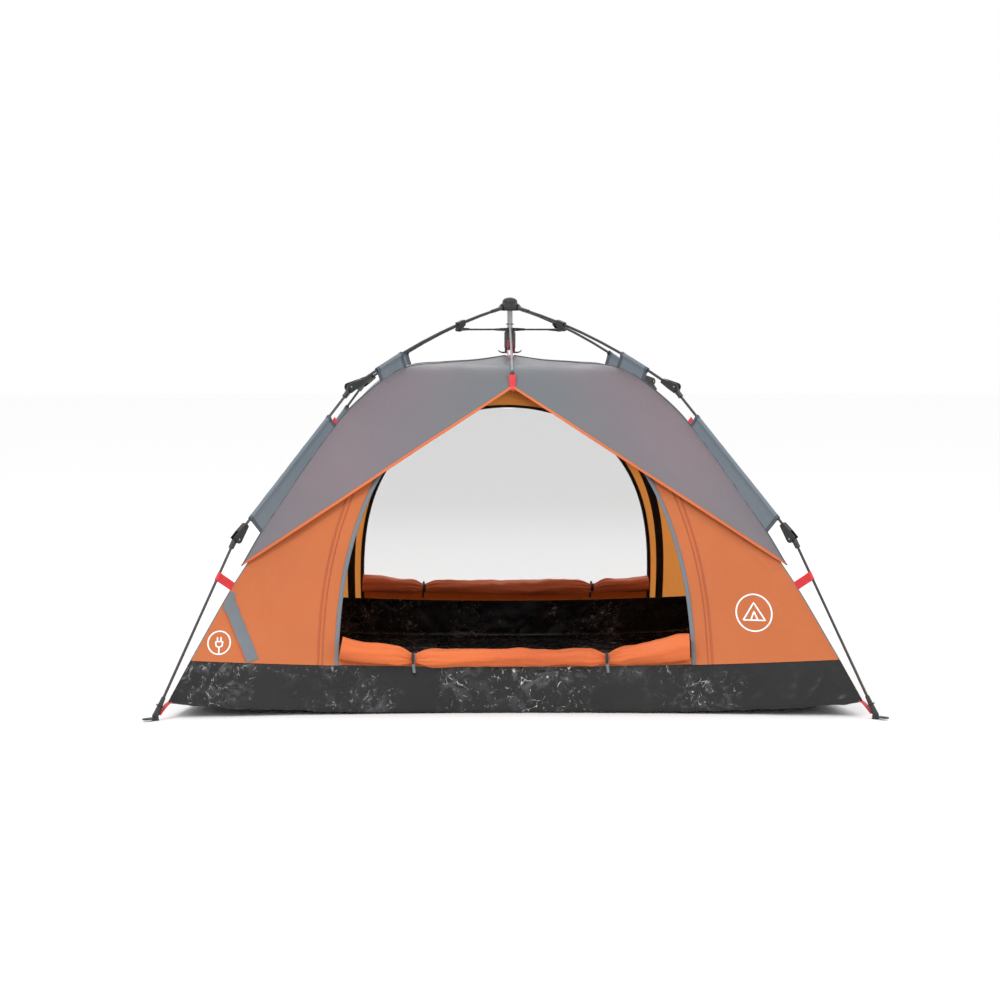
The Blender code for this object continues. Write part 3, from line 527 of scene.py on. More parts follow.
# ---- cloth's unevenness
RIPPLE_WAVES = 20


def ripple(points, seed, size):
    """Soft unevenness from about -1 to 1, which varies over size metres."""
    rng = np.random.default_rng(seed)
    count = RIPPLE_WAVES
    waves = unit(rng.normal(size=(count, 3))) * (2 * math.pi / size * rng.uniform(0.6, 1.5, (count, 1)))
    return np.sin(points @ waves.T + rng.uniform(0, 2 * math.pi, count)).sum(axis=-1) / math.sqrt(count * 2)


def pulls(points, corner, reach, count, seed):
    """Folds that run out from a corner where the cloth is pulled, and die away from it."""
    away = points - np.array(corner)
    radius = np.linalg.norm(away, axis=-1)
    turn = np.arctan2(away[..., 2], away[..., 0])
    phase = np.random.default_rng(seed).uniform(0, 6)
    return np.sin(count * turn + phase) * np.exp(-radius / reach) * radius / (radius + 0.03)


def creases(places, seed, size, stretch=(1.0, 1.0)):
    """Flat cells with sharp furrows between them, from 0 in a furrow to 1."""
    flat = places.reshape(-1, 2) * np.array(stretch)
    low, high = flat.min(axis=0), flat.max(axis=0)
    rng = np.random.default_rng(seed)
    count = max(int(np.prod((high - low) / size + 1)), 4)
    seeds = rng.uniform(low - size, high + size, (count, 2))
    away = np.linalg.norm(flat[:, None, :] - seeds[None, :, :], axis=-1)
    nearest = np.partition(away, 1, axis=1)[:, :2]
    gap = nearest.max(axis=1) - nearest.min(axis=1)
    return np.clip(gap / (0.45 * size), 0.0, 1.0).reshape(places.shape[:-1])


# ---- mesh building
SHARP_DEG = 50.0
SAME_POINT = 1e-6           # vertices as near as this are one, within a sheet
SAME_SEAM = 1e-5            # and at the seam of two
NO_LENGTH = 1e-7


def grid_normals(points):
    down, across = np.gradient(points, axis=0), np.gradient(points, axis=1)
    normals = unit(np.cross(down, across))
    flat = np.linalg.norm(across, axis=-1).max(axis=1) < NO_LENGTH
    normals[flat] = normals[1] if flat[0] else normals[flat]
    return normals


def grid_places(points):
    """Each point's place on the flat cloth, in metres across and down."""
    across = np.linalg.norm(np.diff(points, axis=1), axis=-1)
    down = np.linalg.norm(np.diff(points, axis=0), axis=-1)
    u = np.concatenate([np.zeros((len(points), 1)), np.cumsum(across, axis=1)], axis=1)
    v = np.concatenate([np.zeros((1, points.shape[1])), np.cumsum(down, axis=0)], axis=0)
    return np.stack([u - u[:, -1:] / 2, v], axis=-1)


def sheet_layers(work):
    """Where a one-layer sheet keeps its outward normals and its flat coordinates."""
    return work.verts.layers.float_vector["outward"], work.loops.layers.uv["UVMap"]


def skin(points, rise=0.0):
    """A one-layer sheet through a grid of points, raised by rise along its normals. It keeps its normals."""
    places = grid_places(points)
    points = points + grid_normals(points) * np.asarray(rise)[..., None]
    normals = grid_normals(points)
    work = bmesh.new()
    work.verts.layers.float_vector.new("outward")
    work.loops.layers.uv.new("UVMap")
    outward, flat = sheet_layers(work)
    rows, columns = points.shape[:2]
    grid = [[work.verts.new(points[i, j]) for j in range(columns)] for i in range(rows)]
    for i in range(rows):
        for j in range(columns):
            grid[i][j][outward] = normals[i, j]
    for i in range(rows - 1):
        for j in range(columns - 1):
            corners = ((i, j), (i + 1, j), (i + 1, j + 1), (i, j + 1))
            face = work.faces.new([grid[a][b] for a, b in corners])
            for loop, (a, b) in zip(face.loops, corners):
                loop[flat].uv = places[a, b]
    bmesh.ops.remove_doubles(work, verts=work.verts, dist=SAME_POINT)
    bmesh.ops.dissolve_degenerate(work, edges=work.edges, dist=NO_LENGTH)
    return work


def joined(first, other):
    """Joins two one-layer sheets that meet at a line."""
    outward, flat = sheet_layers(first)
    its_outward, its_flat = sheet_layers(other)
    copies = {}
    for vert in other.verts:
        copies[vert] = first.verts.new(vert.co)
        copies[vert][outward] = vert[its_outward]
    for face in other.faces:
        made = first.faces.new([copies[vert] for vert in face.verts])
        for new, old in zip(made.loops, face.loops):
            new[flat].uv = old[its_flat].uv
    other.free()
    bmesh.ops.remove_doubles(first, verts=first.verts, dist=SAME_SEAM)
    return first


def show(name, mesh, look, body):
    mesh.materials.append(LOOKS[look])
    piece = add_object(name, mesh)
    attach(piece, body)
    return piece


def show_sheet(work, name, look, body="root", thickness=CLOTH, grow=1, turn_deg=0.0):
    """Shows a one-layer sheet with a second layer and a rim. grow is 1 outward and -1 inward."""
    outward, flat = sheet_layers(work)
    work.verts.index_update()
    turn = np.array(Matrix.Rotation(math.radians(turn_deg), 3, "Z"))
    points = np.array([v.co for v in work.verts]) @ turn.T
    normals = unit(np.array([v[outward] for v in work.verts])) @ turn.T
    count = len(points)
    layers = [points + normals * thickness * grow, points]
    both = np.concatenate(layers[::grow])
    faces, corner_normals, places = [], [], []
    for face in work.faces:
        loops = list(face.loops)
        for order, shift, sign in ((loops, 0, 1), (loops[::-1], count, -1)):
            faces.append([loop.vert.index + shift for loop in order])
            corner_normals += [sign * normals[loop.vert.index] for loop in order]
            places += [tuple(loop[flat].uv) for loop in order]
    for edge in work.edges:
        if len(edge.link_faces) == 1:
            loop = edge.link_loops[0]
            a, b = loop.vert.index, loop.link_loop_next.vert.index
            rim = [b, a, a + count, b + count]
            faces.append(rim)
            corner_normals += [unit(np.cross(both[rim[1]] - both[rim[0]], both[rim[2]] - both[rim[0]]))] * 4
            here, there = tuple(loop[flat].uv), tuple(loop.link_loop_next[flat].uv)
            places += [there, here, here, there]
    work.free()
    mesh = bpy.data.meshes.new(name)
    mesh.from_pydata([tuple(p) for p in both], [], faces)
    mesh.polygons.foreach_set("use_smooth", [True] * len(faces))
    mesh.uv_layers.new(name="UVMap").data.foreach_set("uv", np.array(places, float).ravel())
    mesh.normals_split_custom_set([tuple(n) for n in corner_normals])
    return show(name, mesh, look, body)


def swept(path, sides, outline, sizes=None, turn_deg=0.0):
    """A closed solid: an outline of (sideways, outward) points carried along a path, with its ends closed.

    sides holds the sideways direction at each point of the path, or the one that all of them have.
    """
    path = np.array(path, float)
    along = unit(np.gradient(path, axis=0))
    up = unit(np.cross(along, unit(np.broadcast_to(np.array(sides, float), path.shape))))
    sides = np.cross(up, along)
    outline = np.array(outline, float)
    sizes = np.ones(len(path)) if sizes is None else np.asarray(sizes, float)
    rings = (path[:, None, :] + sizes[:, None, None]
             * (outline[None, :, :1] * sides[:, None, :] + outline[None, :, 1:] * up[:, None, :]))
    return closed_rings(rings, turn_deg)


def closed_rings(rings, turn_deg=0.0):
    """A closed mesh through rings of points, in bmesh form, with flat coordinates along it."""
    rows, columns = rings.shape[:2]
    turn = Matrix.Rotation(math.radians(turn_deg), 3, "Z")
    steps = np.diff(np.concatenate([rings, rings[:, :1]], axis=1), axis=1)
    around = np.linalg.norm(steps, axis=-1).mean(axis=0)
    u = np.concatenate([[0.0], np.cumsum(around)])
    v = np.concatenate([[0.0], np.cumsum(np.linalg.norm(np.diff(rings.mean(axis=1), axis=0), axis=-1))])
    work = bmesh.new()
    flat = work.loops.layers.uv.new("UVMap")
    grid = [[work.verts.new(turn @ Vector(p)) for p in ring] for ring in rings]
    for i in range(rows - 1):
        for j in range(columns):
            after = (j + 1) % columns
            face = work.faces.new((grid[i][j], grid[i][after], grid[i + 1][after], grid[i + 1][j]))
            face.smooth = True
            for loop, place in zip(face.loops, ((j, i), (j + 1, i), (j + 1, i + 1), (j, i + 1))):
                loop[flat].uv = (u[place[0]], v[place[1]])
    work.faces.new(grid[0][::-1])
    work.faces.new(grid[-1])
    bmesh.ops.recalc_face_normals(work, faces=work.faces)
    return work


def show_solid(work, name, look, body="root"):
    """Shows a closed solid, smooth but for its sharp edges."""
    mesh = bpy.data.meshes.new(name)
    work.to_mesh(mesh)
    work.free()
    mesh.shade_smooth()
    mesh.set_sharp_from_angle(angle=math.radians(SHARP_DEG))
    return show(name, mesh, look, body)


def sectors(work, closed):
    """Cuts a piece of the front side at its upright sector planes, and gives each sector with its number."""
    shares = [v.co.x / max(-v.co.y, 1e-6) for v in work.verts if -v.co.y > 0.02]
    for k in range(SECTORS):
        low, high = -1 + 2 * k / SECTORS, -1 + 2 * (k + 1) / SECTORS
        if not shares or max(shares) <= low + 1e-4 or min(shares) >= high - 1e-4:
            continue
        part = work.copy()
        for share, side in ((low, -1), (high, 1)):
            if abs(share) > 0.999:
                continue
            parts = part.verts[:] + part.edges[:] + part.faces[:]
            cut = bmesh.ops.bisect_plane(part, geom=parts, dist=1e-6, plane_co=(0, 0, 0),
                                         plane_no=(side, side * share, 0), clear_outer=True)
            rim = [e for e in cut["geom_cut"] if isinstance(e, bmesh.types.BMEdge)]
            if closed and rim:
                bmesh.ops.holes_fill(part, edges=rim, sides=0)
        if part.faces:
            yield k, part
        else:
            part.free()


def fold_in(piece):
    """Gives a soft piece its own copy of its mesh."""
    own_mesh(piece)


def fold_sector(piece, k, turn_deg):
    fold_in(piece)


def sheet_sectors(work, stem, node, look, turn_deg, thickness=CLOTH, grow=1):
    """Shows a sheet of one side as its sectors, each a cut of cloth of its own."""
    for k, part in sectors(work, closed=False):
        area = sum(face.calc_area() for face in part.faces)
        piece = show_sheet(part, f"{stem}_{k + 1}", look, "root", thickness, grow, turn_deg)
        fold_sector(piece, k, turn_deg)
        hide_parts(node)
    work.free()


def solid_sectors(work, stem, look, turn_deg):
    """Shows a closed solid of one side as its sectors."""
    made = []
    for k, part in sectors(work, closed=True):
        bmesh.ops.transform(part, matrix=Matrix.Rotation(math.radians(turn_deg), 4, "Z"), verts=part.verts)
        bmesh.ops.recalc_face_normals(part, faces=part.faces)
        made.append(show_solid(part, f"{stem}_{k + 1}", look))
        fold_sector(made[-1], k, turn_deg)
    work.free()
    return made


# ---- outlines of swept pieces
def circle(radius, count):
    return [(radius * math.cos(a), radius * math.sin(a)) for a in 2 * math.pi * np.arange(count) / count]


def tape(width, thickness, count=4):
    """A flat outline with round edges."""
    flat, round_edge = (width - thickness) / 2, thickness / 2
    points = []
    for side, start in ((1, -90), (-1, 90)):
        for k in range(count + 1):
            angle = math.radians(start + 180 * k / count)
            points.append((side * flat + round_edge * math.cos(angle), round_edge * math.sin(angle)))
    return points


def along_line(path, normals, outline, look, stem, turn_deg, sizes=None, inward=0.0):
    """A tape or piping along a line of a surface of one side, moved inward from it along the surface."""
    sides = unit(np.cross(normals, unit(np.gradient(path, axis=0))))
    solid_sectors(swept(path + sides * inward, sides, outline, sizes), stem, look, turn_deg)


def along_surface(point_at, half, share, lift, outline, look, stem, turn_deg, sizes=None):
    """A tape or piping that follows a surface of one side, lifted off it."""
    normals = surface_normal(point_at, half, share)
    along_line(point_at(half, share) + normals * lift, normals, outline, look, stem, turn_deg, sizes)


# ---- fly
def make_fly():
    """The rain fly: one sheet over the roof, bound in orange over its doors and hemmed at its sides."""
    share = np.linspace(-1, 1, 73)
    from_ridge = 1 - np.abs(share)
    for n, (side, turn_deg) in enumerate(SIDES.items()):
        half = fly_edge(share, side in DOORS)[None, :] * np.linspace(0, 1, 57)[:, None]
        points = fly_point(half, share[None, :])
        rise = 0.0022 * ripple(points, 10 + n, 0.42) + 0.0006 * ripple(points, 20 + n, 0.10)
        for sign in (-1.0, 1.0):
            elbow, corner = (fly_point(np.array(at), np.array(sign)) for at in (0.50, FLY_CORNER))
            rise += 0.0035 * pulls(points, corner, 0.20, 13, n) + 0.0025 * pulls(points, elbow, 0.14, 11, n + 5)
        rise *= ease(0.0, 0.2, from_ridge)[None, :] * ease(0.03, 0.25, half)
        raised = points + grid_normals(points) * rise[..., None]
        sheet_sectors(skin(raised), f"fly_{side}", "fly", "fly_fabric", turn_deg, grow=-1)
        trim = ("binding", f"fly_binding_{side}") if side in DOORS else ("hem_fabric", f"fly_hem_{side}")
        along_line(raised[-1], grid_normals(raised)[-1], tape(0.0088, 0.0028), *trim, turn_deg,
                   sizes=0.45 + 0.55 * ease(0.0, 0.03, from_ridge), inward=0.0024)


def ridge_seam(stem, ridge, start, end, radius, look):
    """The seam where two sides of the fly or of the inner tent meet, over each leg's diagonal."""
    rho = np.linspace(start, end, 60)
    line = np.stack([rho, np.zeros_like(rho), smooth(ridge, rho) + 0.0004], axis=-1)
    for leg, azimuth in LEGS.items():
        work = swept(line, ACROSS_LEG, circle(radius, 8), turn_deg=azimuth)
        piece = show_solid(work, f"{stem}_{leg}", look)
        fold_in(piece)


# ---- inner tent
def wall_rows(door):
    """Half sides from the roof down to the tub."""
    top = door_top(door) if door else 0.43
    roof = np.linspace(0.0, top, 22)
    if not door:
        return np.concatenate([roof, np.linspace(top, TUB_TOP, 40)[1:]])
    half, _ = arch(door, 0.0, side=1)
    return np.concatenate([roof, half[1:-1], [TUB_TOP]])


def door_share(half, door):
    """The share at which the doorway's edge lies, from the middle of its side."""
    tall, power = DOORS[door]
    rise = np.clip((smooth(WALL_RIDGE, half * math.sqrt(2)) - DOOR_SILL) / tall, 0.0, 1.0)
    opened = np.sqrt(np.maximum(0.0, 1 - rise ** power))
    return np.where(rise < 1.0, DOOR_HALF * opened / np.maximum(half, 0.1), 0.0)


def wall_rise(points, share, edge, half, n):
    """The inner tent's own looseness, and the pull of its corners. It is taut along a doorway."""
    inside = ease(0.0, 0.12, 1 - np.abs(share)) * ease(0.0, 0.12, points[..., 2] - 0.135)
    inside = inside * np.where(edge > 0, ease(0.05, 0.20, (np.abs(share) - edge) * half), 1.0)
    rise = 0.0020 * ripple(points, 40 + n, 0.34) + 0.0008 * ripple(points, 50 + n, 0.09)
    for sign in (-1, 1):
        low, high = (sign * TUB_TOP, -TUB_TOP, 0.15), (sign * 0.74, -0.74, 0.46)
        rise = rise + 0.0040 * pulls(points, low, 0.16, 15, n) + 0.0030 * pulls(points, high, 0.12, 12, n + 3)
    return rise * inside


def loose_front(half, share):
    """The front wall's surface with its looseness."""
    points = wall_point(half, share)
    rise = wall_rise(points, share, door_share(half, "front"), half, 0)
    return points + surface_normal(wall_point, half, share) * rise[..., None]


def make_walls():
    """The four walls, the front and rear ones with their doorways left open."""
    for n, (side, turn_deg) in enumerate(SIDES.items()):
        door = side if side in DOORS else None
        half = wall_rows(door)[:, None]
        edge = door_share(half, door) if door else np.zeros_like(half)
        right = edge + (0.9995 - edge) * np.linspace(0.0, 1.0, 45)[None, :]
        halves = []
        for share in (-right[:, ::-1], right):
            points = wall_point(half, share)
            halves.append(skin(points, wall_rise(points, share, edge, half, n)))
        # the side and rear walls take the brighter, lit copy of the inner fabric: painted light
        look = "inner_fabric" if side == "front" else "lit_inner_sides"
        sheet_sectors(joined(*halves), f"inner_{side}", f"{side}_wall", look, turn_deg)


def make_screen():
    """The net in the rear doorway, and the strip of inner tent under each doorway."""
    across = np.linspace(-1, 1, 61)[None, :]
    half = arch("rear", 0.0, side=1)[0]
    sill = float(wall_half_at(DOOR_SILL + SILL))
    half = np.append(half[(half > door_top("rear") + 0.0005) & (half < sill)], sill)[:, None]
    points = wall_point(half, door_share(half, "rear") * 0.995 * across)
    rise = 0.0015 * ripple(points, 71, 0.30) - 0.004 * (1 - across ** 2)
    sheet_sectors(skin(points, rise), "rear_net", "rear_screen", "mesh_net", 180, thickness=NET)
    for door, node, height, rows in (("rear", "rear_screen", SILL, 6), ("front", "front_wall", FRONT_SILL, 5)):
        half = np.linspace(float(wall_half_at(DOOR_SILL + height)), TUB_TOP - 0.001, rows)[:, None]
        points = wall_point(half, door_share(half, door) * 0.999 * across)
        sheet_sectors(skin(points), f"{door}_sill", node, "inner_fabric", SIDES[door])


FROM_TOP = 14           # the step of an arch at which the strips beside it start


def door_trim():
    """Piping, zips, pleats and tapes round the two doorways."""
    for side, spread, width in (("front", 0.016, 0.019), ("rear", 0.005, 0.011)):
        along_surface(wall_point, *arch(side, 0.004), 0.0016, tape(0.0125, 0.0034), "grey_tape",
                      f"door_piping_{side}", SIDES[side])
        along_surface(wall_point, *arch(side, spread), -0.0022, tape(width, 0.0022), "webbing_black",
                      f"door_zip_{side}", SIDES[side])
    # the pleats are drawn in the darker orange: painted shade of their folds
    strips = (("front_pleat_{}_1", "front", loose_front, 0.044, 0.0013, tape(0.0036, 0.0024), "seam_shade_orange"),
              ("front_pleat_{}_2", "front", loose_front, 0.056, 0.0013, tape(0.0060, 0.0024), "seam_shade_orange"),
              ("rear_band_{}", "rear", wall_point, 0.043, -0.0020, tape(0.026, 0.0014), "webbing_black"))
    for name, sign in (("left", -1), ("right", 1)):
        for stem, door, point_at, spread, lift, outline, look in strips:
            half, share = (part[FROM_TOP:] for part in arch(door, spread, side=sign))
            along_surface(point_at, half, share, lift, outline, look, stem.format(name), SIDES[door])


# ---- front corners: cable port and signs
def drawn(lines, centre, size, stem, width):
    """A sign printed on the front wall: lines of points around a centre given as x and z."""
    for n, line in enumerate(lines):
        count = len(line) if line is RING else 8 * (len(line) - 1) + 1
        steps = np.linspace(0, len(line) - 1, count)
        x, z = (np.interp(steps, range(len(line)), [point[k] for point in line]) * size + centre[k]
                for k in (0, 1))
        along_surface(loose_front, *on_wall(x, z), 0.0014, tape(width, 0.0006, 2), "white_print",
                      f"{stem}_{n + 1}", SIDES["front"])


RING = [(math.cos(a), math.sin(a)) for a in np.linspace(0, 2 * math.pi, 40)]


def make_corner_signs():
    """The cable port in the left corner with a plain plug sign, and a plain tent sign on the right."""
    t = np.linspace(0.0, 1.0, 19)
    x = np.interp(t, (0.0, 0.72, 0.78, 0.84, 1.0), (-0.738, -0.800, -0.810, -0.813, -0.829))
    z = 0.150 + 0.188 * t
    sizes = np.interp(t, (0.0, 0.68, 0.76, 0.80, 1.0), (1.0, 1.0, 1.25, 1.0, 0.30))
    half, share = on_wall(x, z)
    share = np.maximum(share, -1 + (0.0185 * sizes + 0.003) / half)
    along_surface(loose_front, half, share, 0.0020, tape(0.037, 0.0016), "grey_tape", "cable_port_flap", 0,
                  sizes=sizes)
    half, share = on_wall(x[:14] - 0.0195, z[:14])
    # the hem is drawn in the darker orange: painted shade
    along_surface(loose_front, half, share, 0.0024, tape(0.0034, 0.0022), "seam_shade_orange", "cable_port_hem", 0)
    plug = [RING, [(-0.32, 0.10), (0.32, 0.10), (0.26, -0.28), (0.0, -0.40), (-0.26, -0.28), (-0.32, 0.10)],
            [(-0.16, 0.12), (-0.16, 0.48)], [(0.16, 0.12), (0.16, 0.48)], [(0.0, -0.42), (0.0, -0.95)]]
    drawn(plug, (-0.833, 0.200), 0.031, "plug_sign", 0.0042)
    tent = [RING, [(-0.62, -0.40), (0.0, 0.55), (0.62, -0.40), (-0.62, -0.40)],
            [(-0.20, -0.40), (0.0, 0.08), (0.20, -0.40)]]
    drawn(tent, (0.679, 0.276), 0.050, "tent_sign", 0.0046)


# ---- tub
def make_tub():
    """Floor and low wall in one coated sheet, creased by its packing and slack between the corners."""
    share = np.linspace(-1, 1, 133)
    foot, edge = tub_foot(share), tub_edge(share)
    floor = [foot * np.array((level, level, level ** FLOOR_LIFT_POWER))
             for level in np.linspace(0.0, 0.992, 40)]
    wall = [foot + (edge - foot) * t for t in np.linspace(0.03, 1.0, 16)]
    points = np.stack(floor + wall) + np.array((0.0, 0.0, CLOTH + 0.0004))
    places = np.stack([points[..., 0], points[..., 1] + points[..., 2]], axis=-1)
    raised = ease(0.0, 0.012, points[..., 2])
    free = ease(0.0, 0.03, edge[None, :, 2] - points[..., 2]) * ease(0.0, 0.03, 1 - np.abs(share))[None, :]
    for n, (side, turn_deg) in enumerate(SIDES.items()):
        crumple = creases(places + 0.02 * ripple(points, 81 + n, 0.2)[..., None], 90 + n, 0.085)
        fine = creases(places, 97 + n, 0.035, (1.0, 1.4))
        slack = ripple(points, 61 + n, 0.30)
        rise = free * (0.0030 * (1 - crumple) * (0.4 + 0.6 * raised) + 0.0012 * (1 - fine)
                       + 0.0022 * slack * raised)
        # its first layer is the inside of the tub, so the sheet is drawn from right to left and turned over
        work = skin(points[:, ::-1], rise[:, ::-1])
        bmesh.ops.reverse_faces(work, faces=work.faces)
        outward, _ = sheet_layers(work)
        for vert in work.verts:
            vert[outward] = -vert[outward]
        sheet_sectors(work, f"tub_{side}", "tub", "tub_sheet", turn_deg)


# ---- rolled doors
AROUND = np.linspace(0, 2 * math.pi, 33)


def lumpy_roll(centre, radii, seed, gathers):
    """Rings of a rolled door: its layers show as shallow spiral ridges, and it is gathered where it is tied."""
    angles = np.linspace(0, 2 * math.pi, 48, endpoint=False)
    along = unit(np.gradient(centre, axis=0))
    side = unit(np.cross(along, (0.0, 0.0, 1.0)))
    up = np.cross(side, along)
    x = centre[:, :1]
    layers = 0.07 * np.sin(2 * angles + 9 * x) + 0.05 * np.sin(5 * angles - 14 * x + 1.0)
    folds = gathers[:, None] * np.cos(11 * angles + 4 * np.sin(7 * x))
    rings = centre[:, None, :] + radii[:, None, None] * (1 + layers + folds)[..., None] * (
        np.cos(angles)[None, :, None] * side[:, None, :] + np.sin(angles)[None, :, None] * up[:, None, :])
    lumps = 0.0016 * ripple(rings, seed, 0.05) + 0.0030 * ripple(rings, seed + 1, 0.16)
    return rings + up[:, None, :] * lumps[..., None]


def make_roll(side, x, y, z, radius, swell, lift, look, webbing_look):
    """One rolled door along its centre line, with its two ties. Outside these it swells and lifts."""
    turn_deg, ties = SIDES[side], ROLL_TIES[side]
    near = np.abs(x[:, None] - ties).min(axis=1)
    outside = np.maximum(np.maximum(ties[0] - x, x - ties[1]), 0.0) / (np.abs(x).max() - max(map(abs, ties)))
    outside = np.clip(outside, 0, 1) ** 1.3
    pinch = np.exp(-(near / 0.030) ** 2)
    radii = radius * (1 - 0.50 * pinch + swell * outside)
    centre = np.stack([x, y, z + (lift * outside - 0.004 * pinch)], axis=-1)
    gathers = 0.10 * np.exp(-(near / 0.055) ** 2) + 0.015
    rings = lumpy_roll(centre, radii, 31 + turn_deg, gathers)
    for piece in solid_sectors(closed_rings(rings), f"{side}_roll", look, turn_deg):
        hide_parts(f"{side}_door_roll")
    for n, tie in enumerate(ties):
        k = int(np.argmin(np.abs(x - tie)))
        middle, size = centre[k], radii[k] * 1.16
        loop = [(tie, middle[1] + size * math.cos(a), middle[2] + size * math.sin(a)) for a in AROUND]
        toggle = [middle + (0.0, -size - 0.004 - 0.0015 * math.sin(t * math.pi), size * 0.3 + 0.016 - 0.032 * t)
                  for t in np.linspace(0, 1, 9)]
        barrel = 0.6 + 0.4 * np.sin(np.linspace(0, math.pi, 9)) ** 0.5
        tail = [middle + (0.004 * t, -size - 0.002 - 0.004 * t, -size * 0.2 - 0.034 * t)
                for t in np.linspace(0, 1, 6)]
        fittings = (("tie", loop, tape(0.010, 0.0016), webbing_look, None),
                    ("toggle", toggle, circle(0.0042, 12), "plastic_black", barrel),
                    ("tail", tail, tape(0.008, 0.0014), webbing_look, None))
        for kind, path, outline, its_look, sizes in fittings:
            work = swept(path, SIDEWAYS, outline, sizes)
            solid_sectors(work, f"{side}_roll_{kind}_{n + 1}", its_look, turn_deg)


def make_rolls():
    """The front door rolled up on the tub's edge, and the rear door rolled up inside on its sill."""
    t = np.linspace(-1, 1, 161)
    _, y, z = tub_edge(t * ROLL_HALF / TUB_TOP).T
    make_roll("front", t * (ROLL_HALF + 0.016), y - 0.004, z + 0.0235, radius=0.025, swell=0.36, lift=0.025,
              look="roll_fabric", webbing_look="webbing_grey")
    # the rear roll takes the brighter copy of the roll fabric: painted light in its shade
    make_roll("rear", t * 0.500, y + 0.068, z + 0.0555, radius=0.0245, swell=0.10, lift=0.006,
              look="lit_rear_roll_cloth", webbing_look="webbing_black")


# ---- leg pieces
def offset(point, angle_deg, along, outward):
    """A point moved along a pole that slopes down by an angle, and outward from it."""
    a = math.radians(angle_deg)
    return (point[0] + along * math.cos(a) + outward * math.sin(a),
            point[1] - along * math.sin(a) + outward * math.cos(a))


def slope_deg(start, end):
    return math.degrees(math.atan2(start[1] - end[1], end[0] - start[0]))


MIDDLE_DEG = slope_deg(UPPER_AXIS, LOWER_AXIS)
LOWER_DEG = slope_deg(LOWER_AXIS, POLE_END)


def arm_point(along):
    """A point on the arm's bowed line, at a distance from the hub pivot."""
    chord = Vector(UPPER_AXIS) - Vector(HUB_PIVOT)
    fraction = along / chord.length
    rise = chord.length * math.radians(ARM_BOW_DEG) / 2 * fraction * (1 - fraction)
    return tuple(Vector(HUB_PIVOT) + chord * fraction + Vector((-chord.y, chord.x)).normalized() * rise)


def down_to(ridge, point, inward):
    """How far inward from a pole the ridge of the fabric lies."""
    return float(bisect(0.0, 0.12, lambda reach: point[1] + inward[1] * reach
                        > smooth(ridge, np.array(point[0] + inward[0] * reach))))


def tunnel(line, radius, ridge, shift=0.0):
    """A web from the fabric's ridge out to a pole and round it, moved outward by shift."""
    line = np.array(line)
    along = unit(np.gradient(line, axis=0))
    outward = np.stack([-along[:, 1], along[:, 0]], axis=-1)
    outward *= np.sign(outward[:, 1:])
    round_pole = np.radians(np.linspace(-140, 140, 15))
    rows = []
    for point, out in zip(line, outward):
        depth = down_to(ridge, point, -out)
        half = 0.0010 + shift
        low = [(-half, -depth), (-half, -depth * 0.72), (-half, -depth * 0.45),
               (-half * 1.1, -radius * 2.0)]
        top = [((radius + shift) * math.sin(a), (radius + shift) * math.cos(a)) for a in round_pole]
        profile = low + top + [(-y, w) for y, w in low[::-1]]
        rows.append([(point[0] + out[0] * w, y, point[1] + out[1] * w) for y, w in profile])
    return np.array(rows)


def turned_rows(rows, azimuth):
    a = math.radians(azimuth)
    turn = np.array(((math.cos(a), -math.sin(a), 0.0), (math.sin(a), math.cos(a), 0.0), (0.0, 0.0, 1.0)))
    return rows @ turn.T


def gather_on_pole(piece, line):
    """Gives a soft piece on a pole its own copy of its mesh."""
    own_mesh(piece)


def leg_sheet(name, rows, line, azimuth, look, body, thickness, node):
    """A sheet round a pole that has this line."""
    work = skin(turned_rows(rows, azimuth))
    area = sum(face.calc_area() for face in work.faces)
    piece = show_sheet(work, name, look, body, thickness)
    if node:
        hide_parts(node)
    gather_on_pole(piece, line)


def make_sleeves():
    """The tunnels of the fly round the arms and middle poles, with hemmed ends, and the red ties below them."""
    upper = [arm_point(s) for s in np.linspace(*UPPER_SLEEVE, 24)]
    lower = [offset(UPPER_AXIS, MIDDLE_DEG, s, 0.0) for s in np.linspace(*LOWER_SLEEVE, 44)]
    tie = [offset(LOWER_AXIS, LOWER_DEG, s, 0.0) for s in np.linspace(*TIE, 8)]
    kinds = (("upper_sleeve", upper, ARM_RADIUS + 0.0016, FLY_RIDGE, "sleeve_fabric", "arm"),
             ("lower_sleeve", lower, POLE_RADIUS + 0.0016, FLY_RIDGE, "sleeve_fabric", "middle"),
             ("corner_tie", tie, POLE_RADIUS + 0.0008, WALL_RIDGE, "webbing_red", "lower"))
    for leg, azimuth in LEGS.items():
        for stem, line, radius, ridge, look, pole in kinds:
            body, rests_on = f"{pole}_{leg}", [f"{pole}_pole_{leg}"]
            rows = tunnel(line, radius, ridge)
            from_end = np.abs(rows[..., 2] - rows[0, 0, 2])
            rows[..., 1] += 0.0007 * ripple(rows, 5 + azimuth, 0.045) * ease(0.0, 0.02, from_end)
            leg_sheet(f"{stem}_web_{leg}", rows, line, azimuth, look, body, CLOTH, f"{stem}_{leg}")
            if stem == "corner_tie":
                continue
            for end, part in (("upper", line[:4]), ("lower", line[:-5:-1])):
                steps = np.linspace(0.0, HEM / math.dist(*part[:2]), 4)
                part = np.stack([np.interp(steps, range(4), [p[k] for p in part]) for k in (0, 1)], axis=-1)
                leg_sheet(f"{stem}_hem_{end}_{leg}", tunnel(part, radius, ridge, shift=0.0010), line, azimuth,
                          "hem_fabric", body, HEM_CLOTH, None)


def ribbon(name, path, sides, outline, look, body, azimuth=0.0, sizes=None):
    """A swept solid on a leg, or on the front side where azimuth is left out."""
    path, sides = (turned_rows(np.array(part, float), azimuth) for part in (path, sides))
    return show_solid(swept(path, sides, outline, sizes), name, look, body)


